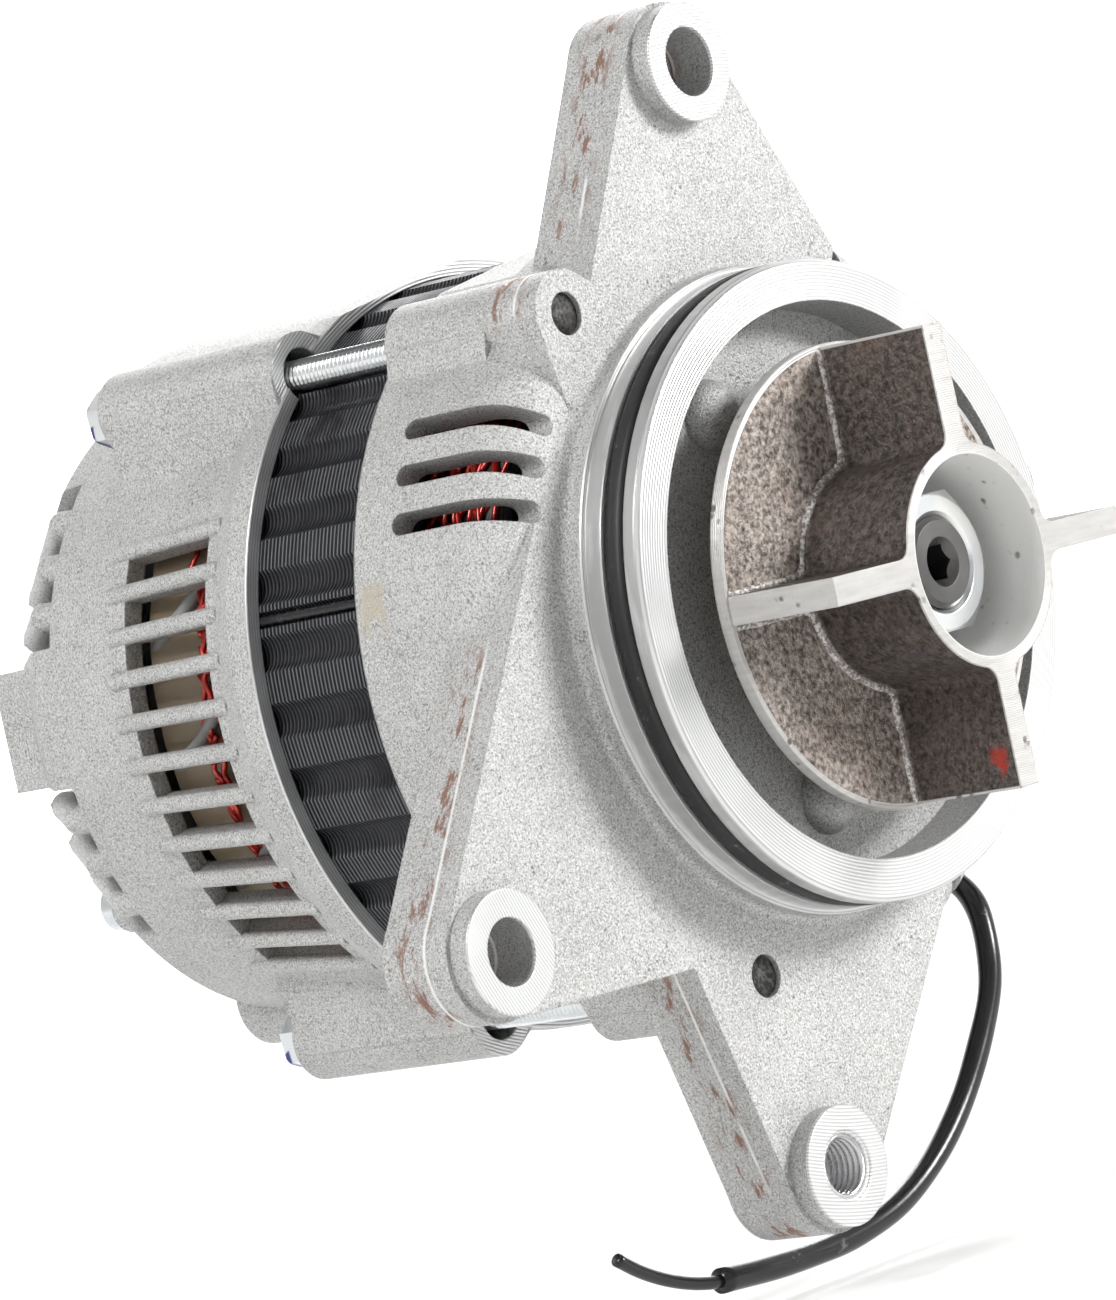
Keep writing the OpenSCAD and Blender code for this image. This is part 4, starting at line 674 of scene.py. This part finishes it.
class MakeLead(bpy.types.Operator):
    """Makes the sleeved lead: the wire from the grommet to its bare end, and the sleeve over it"""

    bl_idname = "alternator.lead"
    bl_label = "Output lead"

    def execute(self, context):
        sizes = context.scene.alternator_sizes
        covered = smooth_path([Vector(p) * MM for p in SLEEVE_ROUTE], 6)
        whole = smooth_path([Vector(p) * MM for p in SLEEVE_ROUTE + WIRE_ROUTE], 6)
        radius = sizes.sleeve_diameter / 2

        def sleeve_radius(share):
            crease = 0.035 * math.sin(share * 61.0) * math.sin(share * 23.0)
            return radius * (1.0 - 0.03 + crease)

        sleeve = new_piece("lead_sleeve_skin", "glossy_sleeve", "housing",
                           lambda shape: add_tube(shape, covered, sleeve_radius, 20))
        wire = new_piece("lead_wire_skin", "glossy_sleeve", "housing",
                         lambda shape: add_tube(shape, whole, lambda share: sizes.wire_diameter / 2, 16))
        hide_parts("lead_sleeve")
        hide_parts("lead_wire")
        path_length(whole)
        return {"FINISHED"}


class MakeBolts(bpy.types.Operator):
    """Makes the through bolts with rolled threads where they lie bare"""

    bl_idname = "alternator.bolts"
    bl_label = "Through bolts"

    def execute(self, context):
        sizes = context.scene.alternator_sizes
        low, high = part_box("through_bolts")
        root, crest = THREAD_ROOT * MM, THREAD_CREST * MM
        head_start = high.y - HEAD_HEIGHT * MM

        def build(shape):
            for angle in BOLT_ANGLES:
                centre = polar(sizes.bolt_reach, angle, 0.0)
                self.add_thread(shape, centre, low.y, THREAD_END * MM, root, crest, sizes.thread_pitch)
                shank = (79.5 * MM, 95.0 * MM, head_start + 0.5 * MM)
                add_tube(shape, [centre + Vector((0, y, 0)) for y in shank], lambda share: crest, 24)
                self.add_head(shape, centre, head_start, high.y, math.radians(angle))

        bolts = new_piece("threaded_through_bolts", "painted_zinc", "housing", build,
                          smooth=False)
        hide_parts("through_bolts")
        return {"FINISHED"}

    def add_thread(self, shape, centre, start, end, root, crest, pitch):
        """A shank whose surface rises and falls along a helix."""
        sides, per_turn = 20, 6
        count = int((end - start) / pitch * per_turn)
        rings = []
        for i in range(count + 1):
            ring = []
            for k in range(sides):
                phase = (i / per_turn - k / sides) % 1.0
                radius = root + (crest - root) * (1 - abs(2 * phase - 1))
                ring.append(shape.verts.new(centre + Vector((radius * math.cos(TURN * k / sides),
                                                             start + (end - start) * i / count,
                                                             radius * math.sin(TURN * k / sides)))))
            rings.append(ring)
        for a, b in zip(rings, rings[1:]):
            for k in range(sides):
                shape.faces.new((a[k], b[k], b[(k + 1) % sides], a[(k + 1) % sides]))
        shape.faces.new(rings[0])
        shape.faces.new(rings[-1][::-1])

    def add_head(self, shape, centre, start, end, turn):
        """A hexagonal head with a washer face below and a rounded chamfer above."""
        flat, sides = 5.0 * MM, 48
        rings = []
        profile = ((0.0, 0.92), (0.02, 1.0), (0.8, 1.0), (0.93, 0.95), (1.0, 0.84), (1.0, 0.6), (0.9, 0.5))
        for share, spread in profile:
            ring = []
            for k in range(sides):
                a = TURN * k / sides
                wedge = (a + math.pi / 6) % (math.pi / 3) - math.pi / 6
                hexagon = flat / math.cos(wedge)
                corner = 5.6 * MM if share in (0.0, 1.0) else 5.75 * MM
                radius = min(hexagon, corner * spread)
                ring.append(shape.verts.new(centre + Vector((radius * math.cos(a + turn),
                                                             start + (end - start) * share,
                                                             radius * math.sin(a + turn)))))
            rings.append(ring)
        for a, b in zip(rings, rings[1:]):
            for k in range(sides):
                shape.faces.new((a[k], b[k], b[(k + 1) % sides], a[(k + 1) % sides]))
        shape.faces.new(rings[0])
        shape.faces.new(rings[-1][::-1])


class MakeWindings(bpy.types.Operator):
    """Makes the wires of the stator's winding heads over a dark ring that paints the shade between them, and
    the leads to the rectifier
    """

    bl_idname = "alternator.windings"
    bl_label = "Winding wires"

    def execute(self, context):
        sizes = context.scene.alternator_sizes
        low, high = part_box("stator_winding")
        rng = random.Random(7)
        heads = ((low.y, STACK_FRONT * MM), (high.y, STACK_REAR * MM))

        # Painted shade: a dark ring under the strands shows dark through the gaps between them.
        def build_shade_ring(shape):
            for end, face in heads:
                away = math.copysign(1.0, end - face)
                add_ring(shape, [(53.0, face), (57.0, face), (57.0, end - away * 3.0 * MM),
                                 (55.5, end - away * 1.4 * MM), (53.0, end - away * 3.0 * MM)])

        def build_wires(shape):
            for end, face in heads:
                for i in range(FRONT_STRANDS if end < face else REAR_STRANDS):
                    self.add_strand(shape, rng, i, face, end - face, sizes.strand_radius)
            for i in range(CROWN_STRANDS):
                start = 360.0 * i / CROWN_STRANDS + rng.uniform(-1.0, 1.0)
                span = rng.uniform(9.0, 16.0)
                place = high.y + rng.uniform(-1.0, 4.6) * MM
                path = [polar(CROWN_REACH * MM, start + span * s / 6,
                              place + 0.6 * MM * math.sin(s * 2.1 + i)) for s in range(7)]
                add_tube(shape, smooth_path(path, 2), lambda share: sizes.strand_radius, 6)

        def build_leads(shape):
            for first, last in PHASE_LEAD_ANGLES:
                path = [polar(reach * MM, first + (last - first) * share, y * MM)
                        for reach, share, y in ((57.0, 0.0, 86.0), (58.4, 0.25, 89.5), (58.2, 0.6, 95.0),
                                                (57.4, 0.85, 101.0), (56.0, 1.0, 104.5))]
                add_tube(shape, smooth_path(path, 5), lambda share: 1.25 * MM, 12)

        # The dark ring is painted shade behind the winding wires.
        core = new_piece("winding_shade_ring", "dark_resin", "housing", build_shade_ring)
        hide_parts("stator_winding")
        new_piece("winding_wires", "copper_wire", "housing", build_wires)
        new_piece("phase_leads", "grey_sleeving", "housing", build_leads)
        return {"FINISHED"}

    def add_strand(self, shape, rng, i, face, depth, radius):
        """One wire that leaves a slot, leans over round the head and returns to another slot."""
        start = 360.0 * i / REAR_STRANDS + rng.uniform(-1.2, 1.2)
        reach = 57.3 * MM + 1.5 * MM * ((i * 7) % 11) / 10
        top = depth * (0.30 + 0.66 * ((i * 5) % 13) / 12) - math.copysign(radius, depth)
        points = []
        for s in range(9):
            t = s / 8
            y = face + top * math.sin(math.pi * t) ** 0.45
            points.append(polar(reach + 0.2 * MM * math.sin(TURN * t + i), start + STRAND_SPAN * t, y))
        add_tube(shape, smooth_path(points, 2), lambda share: radius, 6)


class MakeCastingPieces(bpy.types.Operator):
    """Makes the coupling's ridges with their painted highlight, the lower ear's thread, the recess knobs,
    dark caps that paint the shade in the through bolts' holes, and weld seams
    """

    bl_idname = "alternator.casting_pieces"
    bl_label = "Casting pieces"

    def execute(self, context):
        sizes = context.scene.alternator_sizes
        # The ridges' bright finish is a painted highlight on the coupling's fillets.
        new_piece("coupling_ridges", "painted_highlight_ridge_iron", "rotor", self.build_ridges)
        new_piece("ear_thread", "ground_steel", "housing", self.build_thread)

        # Painted shade: a near-black disc a little way down each through bolt's hole stands in for the shade
        # inside it.
        def build_shade_caps(shape):
            for angle in BOLT_ANGLES:
                add_tube(shape, [polar(sizes.bolt_reach, angle, y * MM) for y in (5.0, 5.5, 6.0)],
                         lambda share: SHADE_CAP_RADIUS * MM, 32)

        def build_seams(shape):
            for angle in SEAM_ANGLES:
                path = [polar(SEAM_REACH * MM, angle, (37.2 + 0.8 * i) * MM) for i in range(41)]
                add_tube(shape, path, lambda share: (1.0 + 0.08 * math.sin(share * 90.0)) * MM, 12)

        def knob_radius(share):
            return max(KNOB_RADIUS * math.cos(share * math.pi / 2) ** 0.8, 0.05) * MM

        def build_knobs(shape):
            for angle in KNOB_ANGLES:
                steps = [math.pi / 2 * i / 12 for i in range(13)]
                path = [polar(KNOB_REACH * MM, angle, (KNOB_BASE - KNOB_RISE * math.sin(t)) * MM)
                        for t in steps]
                add_tube(shape, path, knob_radius, 40)

        new_piece("recess_knobs", "front_casting", "housing", build_knobs)
        new_piece("painted_shade_hole_caps", "painted_shade_hole_iron", "housing", build_shade_caps)
        new_piece("weld_seams", "glossy_sleeve", "housing", build_seams)
        return {"FINISHED"}

    def build_ridges(self, shape):
        """A lumpy ridge in the corner between the disc and the vanes and hub of each quarter, whose bright
        finish is a painted highlight on the fillet there.
        """
        rng = random.Random(3)
        lower = [(40.0, 2.8), (35.0, 2.8), (30.0, 2.8), (25.0, 2.8), (21.8, 2.8)]
        lower += [(21.82 + 2.7 * math.cos(math.radians(a)), 5.5 + 2.7 * math.sin(math.radians(a)))
                  for a in (245, 220)]
        round_hub = [(19.8 * math.cos(math.radians(a)), 19.8 * math.sin(math.radians(a)))
                     for a in (15, 25, 35, 45)]
        half = lower + round_hub
        corner = half + [(v, u) for u, v in half[-2::-1]]
        for quarter in range(4):
            turn = math.radians(90 * quarter)
            path = [Vector(((u * math.cos(turn) - v * math.sin(turn)) * MM, RIDGE_Y * MM,
                            (u * math.sin(turn) + v * math.cos(turn)) * MM)) for u, v in corner]
            lumps = [rng.uniform(0.55, 0.95) * MM for _ in range(24)]
            add_tube(shape, smooth_path(path, 6), lambda share: lumps[int(share * 23)], 10)

    def build_thread(self, shape):
        """Turns of thread that stand up from the wall of the tapped hole."""
        centre = Vector((EARS[2][0], 0, EARS[2][1]))
        sides, per_turn, pitch, start, end = 40, 6, 1.25 * MM, 0.9 * MM, 18.2 * MM
        count = int((end - start) / pitch * per_turn)
        profile = []
        for i in range(count + 1):
            profile.append([(4.78 + 0.66 * abs(2 * ((i / per_turn - k / sides) % 1.0) - 1),
                             start + (end - start) * i / count) for k in range(sides)])
        profile.append([(5.55, end)] * sides)
        profile.append([(5.55, start)] * sides)
        rings = [[shape.verts.new(centre + Vector((r * MM * math.cos(TURN * k / sides), y,
                                                   r * MM * math.sin(TURN * k / sides))))
                  for k, (r, y) in enumerate(ring)] for ring in profile]
        for a, b in zip(rings, rings[1:] + rings[:1]):
            for k in range(sides):
                shape.faces.new((a[k], b[k], b[(k + 1) % sides], a[(k + 1) % sides]))


class AlternatorPanel(bpy.types.Panel):
    """Lists the steps that dress the alternator"""

    bl_idname = "VIEW3D_PT_alternator"
    bl_label = "Alternator"
    bl_space_type = "VIEW_3D"
    bl_region_type = "UI"
    bl_category = "Alternator"

    def draw(self, context):
        for settings in (context.scene.alternator_sizes, context.scene.alternator_camera,
                         context.scene.alternator_stage):
            for name in settings.__annotations__:
                self.layout.prop(settings, name)
        for step in STEPS:
            self.layout.operator(step.bl_idname)


STEPS = (MakeFinishes, MakeStage, MakeLead, MakeBolts, MakeWindings, MakeCastingPieces)
CLASSES = (AlternatorSizes, AlternatorCamera, AlternatorStage, *STEPS, AlternatorPanel)


def register():
    for item in CLASSES:
        bpy.utils.register_class(item)
    bpy.types.Scene.alternator_sizes = bpy.props.PointerProperty(type=AlternatorSizes)
    bpy.types.Scene.alternator_camera = bpy.props.PointerProperty(type=AlternatorCamera)
    bpy.types.Scene.alternator_stage = bpy.props.PointerProperty(type=AlternatorStage)


def unregister():
    del bpy.types.Scene.alternator_stage
    del bpy.types.Scene.alternator_camera
    del bpy.types.Scene.alternator_sizes
    for item in reversed(CLASSES):
        bpy.utils.unregister_class(item)


def main():
    register()
    for step in STEPS:
        group, name = step.bl_idname.split(".")
        getattr(getattr(bpy.ops, group), name)()


if __name__ == "__main__":
    main()
